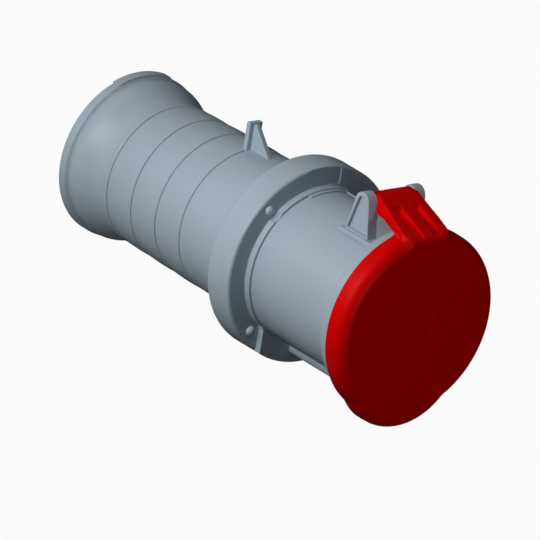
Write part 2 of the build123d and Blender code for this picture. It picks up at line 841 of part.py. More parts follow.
def lid_arm():
    """Hinge arm: knuckle, flat top, slope down to the face, two channels between three ribs."""
    knuckle = Pos(hinge_y, hinge_z) * Circle(arm_knuckle_r)
    corners = Polyline(
        (hinge_y + arm_knuckle_r, hinge_z + arm_flat),
        (arm_root_y, lid_face_z - press_gap),
        (arm_root_y - lid_round_r, lid_face_z - press_gap),
        (arm_root_y - lid_round_r, lid_ceiling_z + lid_face_t / 3),
        (lid_r - lid_wall + move_gap, lid_z),
        close=True,
    )
    outline = make_hull(knuckle.edges() + corners.edges())
    slab = side_slab(outline, -arm_lid_half_w, arm_lid_half_w)
    start_z = hinge_z - arm_knuckle_r - 1
    wide_z = ear_foot_z1 + move_gap
    plan = Polyline(
        (-knuckle_half, start_z),
        (knuckle_half, start_z),
        (knuckle_half, wide_z),
        (arm_lid_half_w, lid_face_z),
        (arm_lid_half_w, lid_face_z + 1),
        (-arm_lid_half_w, lid_face_z + 1),
        (-arm_lid_half_w, lid_face_z),
        (-knuckle_half, wide_z),
        close=True,
    )
    arm = slab & extrude(Plane.XZ * make_face(plan.edges()), -(hinge_y + arm_knuckle_r + 1))
    arm -= block(-arm_lid_half_w, arm_lid_half_w, 0, lid_r - lid_wall + move_gap, hinge_z, lid_z)
    return arm - channel(1) - channel(-1)


def channel(side):
    """Channel beside the middle rib, deep at its rear wall and running out on the face."""
    top_y, top_z = hinge_y + arm_knuckle_r, hinge_z + arm_flat
    slope = (top_y - arm_root_y) / (lid_face_z - top_z)
    wall_y = top_y - slope * (channel_z - top_z)
    end = (arm_root_y - channel_end_d, lid_face_z)
    middle_z = (channel_z + lid_face_z) / 2
    middle = (top_y - slope * (middle_z - top_z) - channel_d, middle_z)
    floor = ThreePointArc((wall_y - channel_d, channel_z), middle, end)
    rest = Polyline(end, (top_y, lid_face_z), (top_y, channel_z), (wall_y - channel_d, channel_z))
    outline = make_face(floor.edges() + rest.edges())
    inner, outer = channel_mid_half_w, knuckle_half - channel_rib_w
    x0, x1 = (inner, outer) if side > 0 else (-outer, -inner)
    return side_slab(outline, x0, x1)


def lid():
    """Spring lid with lobe, hinge arm, seal seat and the shallow panel on its face."""
    shell = Pos(0, 0, lid_z) * extrude(lid_outline(), lid_h, taper=lid_draft)
    shell = fillet(shell.edges().group_by(Axis.Z)[-1], lid_round_r)
    shell += lid_arm()
    shell -= Pos(0, 0, lid_z) * extrude(lid_outline(lid_wall), lid_ceiling_z - lid_z, taper=lid_draft)
    panel = RectangleRounded(lid_panel_w, lid_panel_h, lid_panel_round_r)
    shell -= Pos(0, lid_panel_y, lid_face_z - lid_panel_d) * extrude(panel, lid_panel_d + 1)
    shell -= cross_bar(pin_r + run_gap, -ear_x0, ear_x0, hinge_y, hinge_z)
    pocket_r = spring_r + spring_space
    pocket_half = spring_half_w + spring_space
    shell -= cross_bar(pocket_r, -pocket_half, pocket_half, hinge_y, hinge_z)
    below = hinge_y - 2 * arm_knuckle_r
    shell -= block(-pocket_half, pocket_half, below, hinge_y, hinge_z - 2 * arm_knuckle_r, hinge_z + pocket_r)
    leg_y = hinge_y - spring_r + spring_wire_r
    leg_half = spring_wire_r + spring_space
    shell -= block(
        spring_leg_x - leg_half,
        spring_leg_x + leg_half,
        below,
        leg_y + leg_half,
        hinge_z,
        lid_z - lid_wall + move_gap,
    )
    return shell


def lid_seal():
    """Rubber ring under the face of the lid, which meets the lip of the housing."""
    return ring(lid_seal_r, lid_seal_bore_r, rim_z + move_gap, lid_ceiling_z)


def save(name, *solids):
    """Write one sub-part."""
    shapes = [s for solid in solids for s in solid.solids()]
    export_step(Compound(children=shapes), f"parts/{name}.step")


corners = (45, 135, 225, 315)
save("handle_shell", handle_shell())
save("front_housing", front_housing())
save("housing_gasket", housing_gasket())
save("cover_screws", *[around(a, cover_circle_r) * cover_screw() for a in corners])
save("threaded_inserts", *[around(a, cover_circle_r) * threaded_insert() for a in corners])
save("contact_carrier", contact_carrier())
save("clamp_ring", clamp_ring())
save("carrier_screws", *[around(a, carrier_screw_circle_r) * carrier_screw() for a in (90, 210, 330)])
save("terminal_block", terminal_block())
save("block_screws", *[around(a, block_screw_circle_r) * block_screw() for a in (18, 162)])
for name, angle, radius, pin in CONTACTS:
    save(name, contact_at(angle, radius, pin))
save("sleeve_springs", *[around(a, r) * sleeve_spring(p) for n, a, r, p in CONTACTS])
save(
    "terminal_screws",
    *[around(a, r) * terminal_screw(p, z) for n, a, r, p in CONTACTS for z in terminal_heights(p)],
)
save("gland_seal", gland_seal())
save("gland_washer", gland_washer())
save("gland_nut", gland_nut())
save("hinge_pin", hinge_pin())
save("lid_spring", lid_spring())
save("lid", lid())
save("lid_seal", lid_seal())
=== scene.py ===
"""In-line power socket: looks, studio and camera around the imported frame."""

import json
import logging
import math
from dataclasses import dataclass, field
from enum import Enum
from typing import Any, Callable, Sequence, Union

import bmesh
import bpy
from mathutils import Matrix, Vector


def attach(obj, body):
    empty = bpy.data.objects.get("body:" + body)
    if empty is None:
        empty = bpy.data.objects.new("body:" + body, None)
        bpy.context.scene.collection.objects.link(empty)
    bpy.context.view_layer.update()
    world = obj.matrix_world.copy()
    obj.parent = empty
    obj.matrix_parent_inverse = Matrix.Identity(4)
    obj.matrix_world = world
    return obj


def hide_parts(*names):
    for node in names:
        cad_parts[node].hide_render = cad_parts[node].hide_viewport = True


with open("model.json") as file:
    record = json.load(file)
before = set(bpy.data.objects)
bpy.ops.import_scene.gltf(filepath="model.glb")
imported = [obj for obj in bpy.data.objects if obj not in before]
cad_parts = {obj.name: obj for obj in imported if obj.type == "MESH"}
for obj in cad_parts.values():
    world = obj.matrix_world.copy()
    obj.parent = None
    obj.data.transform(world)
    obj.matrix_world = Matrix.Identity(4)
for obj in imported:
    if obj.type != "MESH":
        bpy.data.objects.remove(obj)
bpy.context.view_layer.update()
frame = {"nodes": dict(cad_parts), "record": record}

MM = 0.001
SCREW_ANGLES = (45, 135, 225, 315)
HINGE_Y = 59.4
HINGE_Z = 213.5
LIE_ALONG_X = Matrix(((0, 0, 1), (1, 0, 0), (0, 1, 0)))
LIE_ALONG_Y = Matrix(((1, 0, 0), (0, 0, 1), (0, 1, 0)))
log = logging.getLogger("power_socket")

Number = Union[int, float]
Point = tuple[float, float]


class Shade(Enum):
    """Linear colours of the finishes."""

    GREY = (0.352, 0.432, 0.491)
    INSULATOR = (0.062, 0.066, 0.072)
    NUT = (0.16, 0.185, 0.21)
    SCREW = (0.5, 0.55, 0.6)
    RED = (0.69, 0.0008, 0.0006)
    RUBBER = (0.018, 0.018, 0.019)
    BRASS = (0.73, 0.47, 0.17)
    STEEL = (0.52, 0.52, 0.53)
    FLOOR = (0.28, 0.285, 0.29)
    BACKDROP = (0.988, 0.988, 0.988)


class Wire:
    """A socket of a node tree with the arithmetic that the finishes use."""

    def __init__(self, graph: "Graph", socket: Any) -> None:
        """Keep the graph and the socket.

        Args:
            graph: the graph that the socket belongs to.
            socket: an output socket.
        """
        self.graph = graph
        self.socket = socket

    def _math(self, operation: str, first: Any, second: Any) -> "Wire":
        """Add one Math node.

        Args:
            operation: the node's operation.
            first: first value or wire.
            second: second value or wire.

        Returns:
            The result as a wire.
        """
        return self.graph.add("ShaderNodeMath", {"operation": operation}, {0: first, 1: second})

    def __add__(self, other: Any) -> "Wire":
        """Sum."""
        return self._math("ADD", self, other)

    def __radd__(self, other: Any) -> "Wire":
        """Sum with the wire on the right."""
        return self._math("ADD", other, self)

    def __sub__(self, other: Any) -> "Wire":
        """Difference."""
        return self._math("SUBTRACT", self, other)

    def __rsub__(self, other: Any) -> "Wire":
        """Difference with the wire on the right."""
        return self._math("SUBTRACT", other, self)

    def __mul__(self, other: Any) -> "Wire":
        """Product."""
        return self._math("MULTIPLY", self, other)

    def __rmul__(self, other: Any) -> "Wire":
        """Product with the wire on the right."""
        return self._math("MULTIPLY", other, self)


class Graph:
    """Node graph of one material."""

    def __init__(self, name: str) -> None:
        """Start an empty material.

        Args:
            name: the material's name.
        """
        self.material = bpy.data.materials.new(name)
        self.material.use_nodes = True
        self.tree = self.material.node_tree
        self.tree.nodes.clear()

    def add(self, kind: str, settings: dict[str, Any], values: dict[Any, Any], output: Any = 0) -> Wire:
        """Add a node.

        Args:
            kind: type name of the node.
            settings: attributes, set before the sockets.
            values: numbers, tuples or wires by socket name or index.
            output: name or index of the output to hand back.

        Returns:
            The chosen output as a wire.
        """
        node = self.tree.nodes.new(kind)
        for key, value in settings.items():
            if key == "stops":
                self._stops(node, value)
            else:
                setattr(node, key, value)
        for key, value in values.items():
            if isinstance(value, Wire):
                self.tree.links.new(value.socket, node.inputs[key])
            else:
                node.inputs[key].default_value = value
        if not node.outputs:
            return Wire(self, None)
        return Wire(self, node.outputs[output])

    @staticmethod
    def _stops(node: Any, stops: Sequence[tuple[float, Sequence[float]]]) -> None:
        """Set the stops of a colour ramp.

        Args:
            node: the ramp node.
            stops: position and colour of each stop.
        """
        elements = node.color_ramp.elements
        while len(elements) < len(stops):
            elements.new(1.0)
        for element, (position, colour) in zip(elements, stops):
            element.position = position
            element.color = (*colour, 1.0)

    def place(self, scale: Number = 1.0, stretch: Sequence[float] = (1.0, 1.0, 1.0)) -> Wire:
        """Object coordinates, scaled.

        Args:
            scale: common factor.
            stretch: factor per axis.

        Returns:
            The vector.
        """
        coordinates = self.add("ShaderNodeTexCoord", {}, {}, "Object")
        return self.add("ShaderNodeMapping", {}, {"Vector": coordinates, "Scale": [scale * s for s in stretch]})

    def noise(self, where: Wire, size: Number, detail: Number = 2.0) -> Wire:
        """Noise between 0 and 1.

        Args:
            where: coordinates.
            size: scale of the noise.
            detail: octaves.

        Returns:
            The noise value.
        """
        return self.add(
            "ShaderNodeTexNoise", {}, {"Vector": where, "Scale": size, "Detail": detail, "Roughness": 0.55}, "Fac"
        )

    def finish(self, shader: Wire) -> bpy.types.Material:
        """Join the shader to the output.

        Args:
            shader: the surface shader.

        Returns:
            The finished material.
        """
        self.add("ShaderNodeOutputMaterial", {}, {"Surface": shader})
        return self.material


def tint(colour: Sequence[float], factor: float) -> tuple[float, float, float, float]:
    """Scale a colour.

    Args:
        colour: linear colour.
        factor: the factor.

    Returns:
        The colour with an alpha of 1.
    """
    return (*[min(1.0, c * factor) for c in colour[:3]], 1.0)


@dataclass(frozen=True)
class MouldedPlastic:
    """Moulded plastic with a fine spark-eroded grain and slight mottling."""

    name: str
    shade: Shade
    roughness: float = 0.42
    grain: float = 0.05
    mottle: float = 0.04
    gloss: float = 0.7
    gloss_roughness: float = 0.42

    def make(self) -> bpy.types.Material:
        """Build the material.

        Returns:
            The material.
        """
        graph = Graph(self.name)
        where = graph.place()
        cloud = graph.noise(where, 28.0, 3.0)
        fine = graph.noise(where, 2600.0, 2.0)
        colour = graph.add(
            "ShaderNodeMix",
            {"data_type": "RGBA"},
            {
                0: cloud,
                6: tint(self.shade.value, 1 - self.mottle),
                7: tint(self.shade.value, 1 + self.mottle),
            },
            2,
        )
        rough = cloud * 0.06 + fine * 0.05 + (self.roughness - 0.055)
        bump = graph.add("ShaderNodeBump", {}, {"Strength": self.grain, "Distance": 0.00006, "Height": fine})
        facing = graph.add("ShaderNodeLayerWeight", {}, {"Blend": 0.5}, "Facing")
        shader = graph.add(
            "ShaderNodeBsdfPrincipled",
            {},
            {
                "Base Color": colour,
                "Roughness": rough,
                "Normal": bump,
                "Specular IOR Level": 0.0,
                "Coat Weight": (1.0 - facing) * self.gloss,
                "Coat Roughness": self.gloss_roughness,
            },
        )
        return graph.finish(shader)


@dataclass(frozen=True)
class TurnedMetal:
    """Turned or drawn metal with fine marks round its axis."""

    name: str
    shade: Shade
    roughness: float = 0.3

    def make(self) -> bpy.types.Material:
        """Build the material.

        Returns:
            The material.
        """
        graph = Graph(self.name)
        marks = graph.noise(graph.place(1.0, (1.0, 1.0, 14.0)), 260.0, 3.0)
        cloud = graph.noise(graph.place(), 90.0, 2.0)
        colour = graph.add(
            "ShaderNodeMix",
            {"data_type": "RGBA"},
            {0: cloud, 6: tint(self.shade.value, 0.9), 7: tint(self.shade.value, 1.06)},
            2,
        )
        rough = marks * 0.16 + (self.roughness - 0.08)
        bump = graph.add("ShaderNodeBump", {}, {"Strength": 0.12, "Distance": 0.00005, "Height": marks})
        shader = graph.add(
            "ShaderNodeBsdfPrincipled",
            {},
            {"Base Color": colour, "Metallic": 1.0, "Roughness": rough, "Normal": bump},
        )
        return graph.finish(shader)


@dataclass(frozen=True)
class SoftRubber:
    """Matte black rubber with a dusty bloom."""

    name: str
    shade: Shade = Shade.RUBBER

    def make(self) -> bpy.types.Material:
        """Build the material.

        Returns:
            The material.
        """
        graph = Graph(self.name)
        where = graph.place()
        bloom = graph.noise(where, 60.0, 4.0)
        fine = graph.noise(where, 1500.0, 2.0)
        colour = graph.add(
            "ShaderNodeMix",
            {"data_type": "RGBA"},
            {0: bloom, 6: tint(self.shade.value, 0.8), 7: tint(self.shade.value, 1.8)},
            2,
        )
        bump = graph.add("ShaderNodeBump", {}, {"Strength": 0.15, "Distance": 0.0001, "Height": fine})
        shader = graph.add(
            "ShaderNodeBsdfPrincipled",
            {},
            {"Base Color": colour, "Roughness": bloom * 0.1 + 0.68, "Normal": bump, "Specular IOR Level": 0.3},
        )
        return graph.finish(shader)


@dataclass(frozen=True)
class Paper:
    """White studio floor: the camera sees it nearly plain, with the object's soft shadow."""

    name: str = "studio_floor"
    glow: float = 0.97

    def make(self) -> bpy.types.Material:
        """Build the material.

        Returns:
            The material.
        """
        graph = Graph(self.name)
        diffuse = graph.add("ShaderNodeBsdfDiffuse", {}, {"Color": (*Shade.FLOOR.value, 1.0)})
        white = graph.add("ShaderNodeEmission", {}, {"Color": (*Shade.BACKDROP.value, 1.0), "Strength": 1.0})
        camera = graph.add("ShaderNodeLightPath", {}, {}, "Is Camera Ray")
        glossy = graph.add("ShaderNodeLightPath", {}, {}, "Is Glossy Ray")
        through = graph.add("ShaderNodeLightPath", {}, {}, "Is Transmission Ray")
        factor = (camera + glossy + through) * self.glow
        shader = graph.add("ShaderNodeMixShader", {}, {0: factor, 1: diffuse, 2: white})
        return graph.finish(shader)


@dataclass
class Palette:
    """All finishes of the socket."""

    grey: MouldedPlastic = field(default_factory=lambda: MouldedPlastic("grey_plastic", Shade.GREY))
    screw: MouldedPlastic = field(
        default_factory=lambda: MouldedPlastic("screw_plastic", Shade.SCREW, 0.3, 0.02, 0.04, 1.0)
    )
    insulator: MouldedPlastic = field(default_factory=lambda: MouldedPlastic("insulator_plastic", Shade.INSULATOR, 0.5))
    nut: MouldedPlastic = field(default_factory=lambda: MouldedPlastic("nut_plastic", Shade.NUT, 0.5))
    red: MouldedPlastic = field(
        default_factory=lambda: MouldedPlastic("red_plastic", Shade.RED, 0.45, 0.05, 0.03, 0.12)
    )
    rubber: SoftRubber = field(default_factory=lambda: SoftRubber("black_rubber"))
    brass: TurnedMetal = field(default_factory=lambda: TurnedMetal("turned_brass", Shade.BRASS, 0.32))
    steel: TurnedMetal = field(default_factory=lambda: TurnedMetal("bright_steel", Shade.STEEL, 0.3))

    def dress(self) -> dict[str, bpy.types.Material]:
        """Make every material once.

        Returns:
            The materials by the record's slot name.
        """
        return {
            "grey_plastic": self.grey.make(),
            "screw_cap": self.screw.make(),
            "insulator": self.insulator.make(),
            "nut_plastic": self.nut.make(),
            "red_plastic": self.red.make(),
            "black_rubber": self.rubber.make(),
            "brass": self.brass.make(),
            "steel": self.steel.make(),
        }


def dress_frame(materials: dict[str, bpy.types.Material]) -> None:
    """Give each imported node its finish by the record's slots.

    Args:
        materials: the finishes by slot name.
    """
    slots = {part["node"]: part["material_slot"] for part in frame["record"]["subparts"]}
    for name, node in frame["nodes"].items():
        node.data.materials.clear()
        node.data.materials.append(materials[slots[name]])
        log.info("node %s wears %s", name, slots[name])


@dataclass
class Blank:
    """A piece on the bench: a bmesh in millimetres that operators bring to its shape."""

    shape: bmesh.types.BMesh = field(default_factory=bmesh.new)

    @classmethod
    def turned(cls, profile: Sequence[Point], steps: int = 192, sweep: float = 360.0, start: float = 0.0) -> "Blank":
        """Turn a closed profile about the socket's axis.

        Args:
            profile: radius and height of each point, in order.
            steps: faces round a full turn.
            sweep: angle of the turn in degrees.
            start: angle at which a part turn starts, from +X.

        Returns:
            The turned blank.
        """
        blank = cls()
        verts = [blank.shape.verts.new((r, 0.0, z)) for r, z in profile]
        edges = [blank.shape.edges.new((verts[i - 1], verts[i])) for i in range(len(verts))]
        full = sweep >= 360.0
        if not full:
            blank.shape.faces.new(verts)
        bmesh.ops.rotate(
            blank.shape, verts=verts, cent=(0, 0, 0), matrix=Matrix.Rotation(math.radians(start), 3, "Z")
        )
        bmesh.ops.spin(
            blank.shape,
            geom=list(blank.shape.faces) if not full else verts + edges,
            cent=(0, 0, 0),
            axis=(0, 0, 1),
            angle=math.radians(sweep),
            steps=max(2, round(steps * sweep / 360.0)),
            use_merge=full,
            use_duplicate=False,
        )
        return blank.tidy()

    @classmethod
    def prism(cls, outline: Sequence[Point], low: float, high: float) -> "Blank":
        """Pull an outline drawn in X and Y up along Z.

        Args:
            outline: the corners in order.
            low: lower height.
            high: upper height.

        Returns:
            The prism.
        """
        blank = cls()
        face = blank.shape.faces.new([blank.shape.verts.new((x, y, low)) for x, y in outline])
        pulled = bmesh.ops.extrude_face_region(blank.shape, geom=[face])
        verts = [item for item in pulled["geom"] if isinstance(item, bmesh.types.BMVert)]
        bmesh.ops.translate(blank.shape, verts=verts, vec=(0, 0, high - low))
        return blank.tidy()

    @classmethod
    def slab(cls, outline: Sequence[Point], low: float, high: float) -> "Blank":
        """Pull an outline drawn in Y and Z out along X.

        Args:
            outline: the corners in order.
            low: lower X.
            high: upper X.

        Returns:
            The slab.
        """
        return cls.prism(outline, low, high).lie(LIE_ALONG_X).tidy()

    @classmethod
    def box(cls, x: Point, y: Point, z: Point) -> "Blank":
        """Box between limits.

        Args:
            x: limits in X.
            y: limits in Y.
            z: limits in Z.

        Returns:
            The box.
        """
        return cls.prism([(x[0], y[0]), (x[1], y[0]), (x[1], y[1]), (x[0], y[1])], z[0], z[1])

    @classmethod
    def bar(
        cls, radius: float, low: float, high: float, angle: float = 0.0, out: float = 0.0, steps: int = 48
    ) -> "Blank":
        """Round bar along Z.

        Args:
            radius: its radius.
            low: lower height.
            high: upper height.
            angle: where it stands round the axis, in degrees.
            out: its distance from the axis.
            steps: faces round it.

        Returns:
            The bar.
        """
        blank = cls()
        bmesh.ops.create_cone(
            blank.shape, cap_ends=True, segments=steps, radius1=radius, radius2=radius, depth=high - low
        )
        return blank.move((out, 0, (low + high) / 2)).spin(angle)

    @classmethod
    def cross_bar(cls, radius: float, x: Point, y: float, z: float, steps: int = 48) -> "Blank":
        """Round bar along X.

        Args:
            radius: its radius.
            x: its ends.
            y: height of its axis.
            z: station of its axis.
            steps: faces round it.

        Returns:
            The bar.
        """
        return cls.bar(radius, x[0], x[1], steps=steps).lie(LIE_ALONG_X).move((0, y, z))

    def lie(self, turn: Matrix) -> "Blank":
        """Lay the whole blank over by a turn of its axes."""
        bmesh.ops.transform(self.shape, matrix=turn.to_4x4(), verts=list(self.shape.verts))
        return self

    def move(self, vector: Sequence[float]) -> "Blank":
        """Shift the whole blank."""
        bmesh.ops.translate(self.shape, verts=list(self.shape.verts), vec=vector)
        return self

    def spin(self, angle: float) -> "Blank":
        """Turn the whole blank about the axis by an angle in degrees."""
        bmesh.ops.rotate(
            self.shape,
            verts=list(self.shape.verts),
            cent=(0, 0, 0),
            matrix=Matrix.Rotation(math.radians(angle), 3, "Z"),
        )
        return self

    def tidy(self) -> "Blank":
        """Merge doubles and turn the faces outwards.

        Returns:
            The same blank.
        """
        bmesh.ops.remove_doubles(self.shape, verts=list(self.shape.verts), dist=0.0005)
        bmesh.ops.recalc_face_normals(self.shape, faces=list(self.shape.faces))
        return self

    def ease(
        self,
        width: float,
        segments: int = 3,
        limit: float = 35.0,
        where: Callable[[Vector], bool] = lambda p: True,
    ) -> "Blank":
        """Round the sharp edges.

        Args:
            width: distance from the edge to the start of the round.
            segments: faces across the round.
            limit: least angle between faces, in degrees.
            where: takes an edge's middle and says whether to round it.

        Returns:
            The same blank.
        """
        edges = [
            edge
            for edge in self.shape.edges
            if len(edge.link_faces) == 2
            and edge.calc_face_angle(0.0) > math.radians(limit)
            and where((edge.verts[0].co + edge.verts[1].co) / 2)
        ]
        bmesh.ops.bevel(
            self.shape,
            geom=edges,
            offset=width,
            offset_type="OFFSET",
            affect="EDGES",
            segments=segments,
            profile=0.5,
            material=-1,
            clamp_overlap=True,
        )
        return self.tidy()

    def raise_face(self, steps: Sequence[Point]) -> "Blank":
        """Draw the highest face inwards and upwards in steps.

        Args:
            steps: way inwards and way upwards of each step.

        Returns:
            The same blank.
        """
        top = max(self.shape.faces, key=lambda face: face.calc_center_median().z)
        if top.normal.z < 0:
            top.normal_flip()
        for inwards, upwards in steps:
            bmesh.ops.inset_region(
                self.shape, faces=[top], thickness=inwards, depth=upwards, use_even_offset=True, use_boundary=True
            )
        return self.tidy()

    def _loose(self, name: str) -> bpy.types.Object:
        """Put the blank in a helper object.

        Args:
            name: the helper's name.

        Returns:
            The helper.
        """
        mesh = bpy.data.meshes.new(name)
        self.shape.to_mesh(mesh)
        helper = bpy.data.objects.new(name, mesh)
        bpy.context.scene.collection.objects.link(helper)
        return helper

    def _combine(self, other: "Blank", operation: str) -> "Blank":
        """Boolean with another blank.

        Args:
            other: the second blank, which is used up.
            operation: DIFFERENCE, UNION or INTERSECT.

        Returns:
            The same blank with its new shape.
        """
        first, second = self._loose("bench_first"), other._loose("bench_second")
        step = first.modifiers.new("step", "BOOLEAN")
        step.object = second
        step.operation = operation
        step.solver = "EXACT"
        bpy.context.view_layer.update()
        result = bpy.data.meshes.new_from_object(first.evaluated_get(bpy.context.evaluated_depsgraph_get()))
        self.shape.clear()
        self.shape.from_mesh(result)
        other.shape.free()
        used = [first.data, second.data, result]
        for helper in (first, second):
            bpy.data.objects.remove(helper)
        for mesh in used:
            bpy.data.meshes.remove(mesh)
        return self.tidy()

    def cut(self, *others: "Blank") -> "Blank":
        """Take other blanks away."""
        for other in others:
            self._combine(other, "DIFFERENCE")
        return self

    def join(self, *others: "Blank") -> "Blank":
        """Unite with other blanks."""
        for other in others:
            self._combine(other, "UNION")
        return self

    def keep(self, other: "Blank") -> "Blank":
        """Keep what lies inside another blank."""
        return self._combine(other, "INTERSECT")

    def lay(self, *others: "Blank") -> "Blank":
        """Lay other closed blanks into the same piece without cutting.

        Args:
            others: the blanks, which are used up.

        Returns:
            The same blank.
        """
        for other in others:
            mesh = bpy.data.meshes.new("laid")
            other.shape.to_mesh(mesh)
            self.shape.from_mesh(mesh)
            other.shape.free()
            bpy.data.meshes.remove(mesh)
        return self

    def finish(
        self, name: str, material: bpy.types.Material, body: str, slot: str, stands_for: str, smooth: float = 32.0
    ) -> bpy.types.Object:
        """Make the finished piece.

        Args:
            name: the piece's name.
            material: its finish.
            body: the body that it rides on.
            slot: the record's material slot; not used.
            stands_for: the node that it replaces.
            smooth: faces that meet under this angle in degrees shade as one surface.

        Returns:
            The piece's object.
        """
        bmesh.ops.scale(self.shape, verts=list(self.shape.verts), vec=(MM, MM, MM))
        mesh = bpy.data.meshes.new(name)
        self.shape.to_mesh(mesh)
        self.shape.free()
        mesh.shade_smooth()
        mesh.set_sharp_from_angle(angle=math.radians(smooth))
        mesh.materials.append(material)
        piece = bpy.data.objects.new(name, mesh)
        bpy.context.scene.collection.objects.link(piece)
        even = piece.modifiers.new("even_shading", "WEIGHTED_NORMAL")
        even.keep_sharp = True
        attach(piece, body)
        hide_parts(stands_for)
        log.info("%s: %d faces, stands for %s", name, len(mesh.polygons), stands_for)
        return piece


def arc(centre: Point, radius: float, start: float, end: float, count: int) -> list[Point]:
    """Points along an arc.

    Args:
        centre: its centre.
        radius: its radius.
        start: first angle in degrees.
        end: last angle in degrees.
        count: number of points.

    Returns:
        The points, both ends included.
    """
    angles = [math.radians(start + (end - start) * i / (count - 1)) for i in range(count)]
    return [(centre[0] + radius * math.cos(a), centre[1] + radius * math.sin(a)) for a in angles]


def flow(points: Sequence[Point], slopes: Sequence[float], count: int) -> list[Point]:
    """Smooth curve of radius over height through given points.

    Args:
        points: radius and height of each station.
        slopes: change of radius with height at each station.
        count: points on each stretch.

    Returns:
        The points of the curve.
    """
    curve = [points[0]]
    for (r0, z0), (r1, z1), s0, s1 in zip(points, points[1:], slopes, slopes[1:]):
        h = z1 - z0
        for i in range(1, count + 1):
            t = i / count
            blend = (2 * t**3 - 3 * t**2 + 1, t**3 - 2 * t**2 + t, 3 * t**2 - 2 * t**3, t**3 - t**2)
            curve.append((blend[0] * r0 + blend[1] * h * s0 + blend[2] * r1 + blend[3] * h * s1, z0 + h * t))
    return curve


@dataclass
class HandleShell:
    """Rear moulding: bell with its raised rim pad, grooved barrel, hanging lug and back of the collar."""

    rim_r: float = 46.8
    rim_h: float = 5.6
    rim_ease: float = 0.7
    neck: Point = (45.0, 6.3)
    swell: Point = (45.8, 11.5)
    flare: Point = (42.47, 21.25)
    bell_len: float = 31.0
    bell_wall: float = 3.3
    rear_r: float = 40.6
    front_r: float = 42.5
    barrel_wall: float = 3.1
    crown: float = 0.35
    grooves: tuple[float, ...] = (34.5, 56.1, 77.7, 99.3)
    groove_w: float = 0.8
    groove_d: float = 0.75
    groove_ease: float = 0.18
    groove_draft: float = 0.06
    cove_r: float = 10.2
    collar_r: float = 55.5
    collar_z: float = 140.0
    edge_r: float = 2.8
    front_z: float = 152.4
    pad_rise: float = 0.9
    pad_angle: float = 44.8
    lug_z: float = 96.6
    lug_t: float = 3.2
    lug_w: float = 8.8
    lug_top: float = 57.4
    rib_t: float = 3.0
    rib_run: float = 15.5
    rib_foot: float = 1.6
    parting: Point = (39.4, 145.4)
    bulkhead: Point = (30.0, 34.0)
    cable_r: float = 19.5
    seal_r: float = 22.5
    spigot_r: float = 27.0
    spigot_z: float = 12.0

    def barrel_r(self, z: float) -> float:
        """Radius of the barrel at a height."""
        return self.rear_r + (self.front_r - self.rear_r) * (z - self.bell_len) / (
            self.collar_z - self.cove_r - self.bell_len
        )

    def _barrel(self) -> list[Point]:
        """Crowned runs between the grooves.

        Returns:
            The points from the bell to the cove of the collar.
        """
        points: list[Point] = []
        z = self.bell_len
        for middle in self.grooves:
            low, high = middle - self.groove_w / 2, middle + self.groove_w / 2
            for i in range(1, 8):
                t = i / 8
                points.append((self.barrel_r(z + (low - z) * t) + 4 * self.crown * t * (1 - t), z + (low - z) * t))
            ease = self.groove_ease
            points += [
                (self.barrel_r(low), low - ease),
                (self.barrel_r(low) - ease, low),
                (self.barrel_r(low) - self.groove_d, low + self.groove_draft),
                (self.barrel_r(high) - self.groove_d, high - self.groove_draft),
                (self.barrel_r(high) - ease, high),
                (self.barrel_r(high), high + ease),
            ]
            z = high
        points.append((self.front_r, self.collar_z - self.cove_r))
        return points

    def _outside(self) -> list[Point]:
        """Outer half section from the rim to the parting of the collar.

        Returns:
            The points.
        """
        rim = self.rim_ease
        points = [(self.rim_r - rim, 0.0), *arc((self.rim_r - rim, rim), rim, -60, 0, 3)]
        points += arc((self.rim_r - rim, self.rim_h - rim), rim, 0, 75, 4)
        bell = flow([self.neck, self.swell, self.flare, (self.rear_r, self.bell_len)], [0.45, -0.06, -0.36, -0.02], 9)
        points += bell + self._barrel()
        cove = (self.front_r + self.cove_r, self.collar_z - self.cove_r)
        points += arc(cove, self.cove_r, 172, 90, 12)
        points += arc((self.collar_r - self.edge_r, self.collar_z + self.edge_r), self.edge_r, -82, 0, 8)
        points += [(self.collar_r, self.front_z)]
        return points

    def _inside(self) -> list[Point]:
        """Inner half section from the face of the collar back to the rim.

        Returns:
            The points.
        """
        rim_bore = self.rim_r - self.bell_wall
        bell_bore = self.rear_r - self.bell_wall
        back, front = self.bulkhead
        flared = flow([(self.swell[0] - self.bell_wall, self.swell[1]), (bell_bore, back - 3.0)], [-0.1, -0.1], 8)
        return [
            (self.parting[0], self.front_z),
            self.parting,
            (self.rear_r - self.barrel_wall, front),
            (self.cable_r, front),
            (self.cable_r, back),
            (self.seal_r, back),
            (self.seal_r, self.spigot_z + 0.4),
            (self.seal_r + 0.5, self.spigot_z),
            (self.spigot_r - 0.4, self.spigot_z),
            (self.spigot_r, self.spigot_z + 0.4),
            (self.spigot_r, back - 1.0),
            (self.spigot_r + 1.0, back),
            (bell_bore - 1.5, back),
            (bell_bore, back - 1.5),
            *reversed(flared),
            (rim_bore, 4.5),
            (rim_bore, 0.6),
            (rim_bore + 0.6, 0.0),
        ]

    def _lug(self) -> Blank:
        """Plate with a forward rib on top of the barrel.

        Returns:
            The lug.
        """
        root = self.rear_r - 1.2
        front = self.lug_z + self.lug_t
        plate = Blank.box((-self.lug_w / 2, self.lug_w / 2), (root, self.lug_top), (self.lug_z, front)).ease(0.55, 3)
        rib = Blank.slab(
            [
                (root, front - 1),
                (self.lug_top - 0.8, front - 1),
                (self.lug_top - 0.8, front + self.rib_foot),
                (root + 0.8, front + self.rib_foot + self.rib_run),
                (root, front + self.rib_foot + self.rib_run),
            ],
            -self.rib_t / 2,
            self.rib_t / 2,
        ).ease(0.5, 3)
        return plate.join(rib)

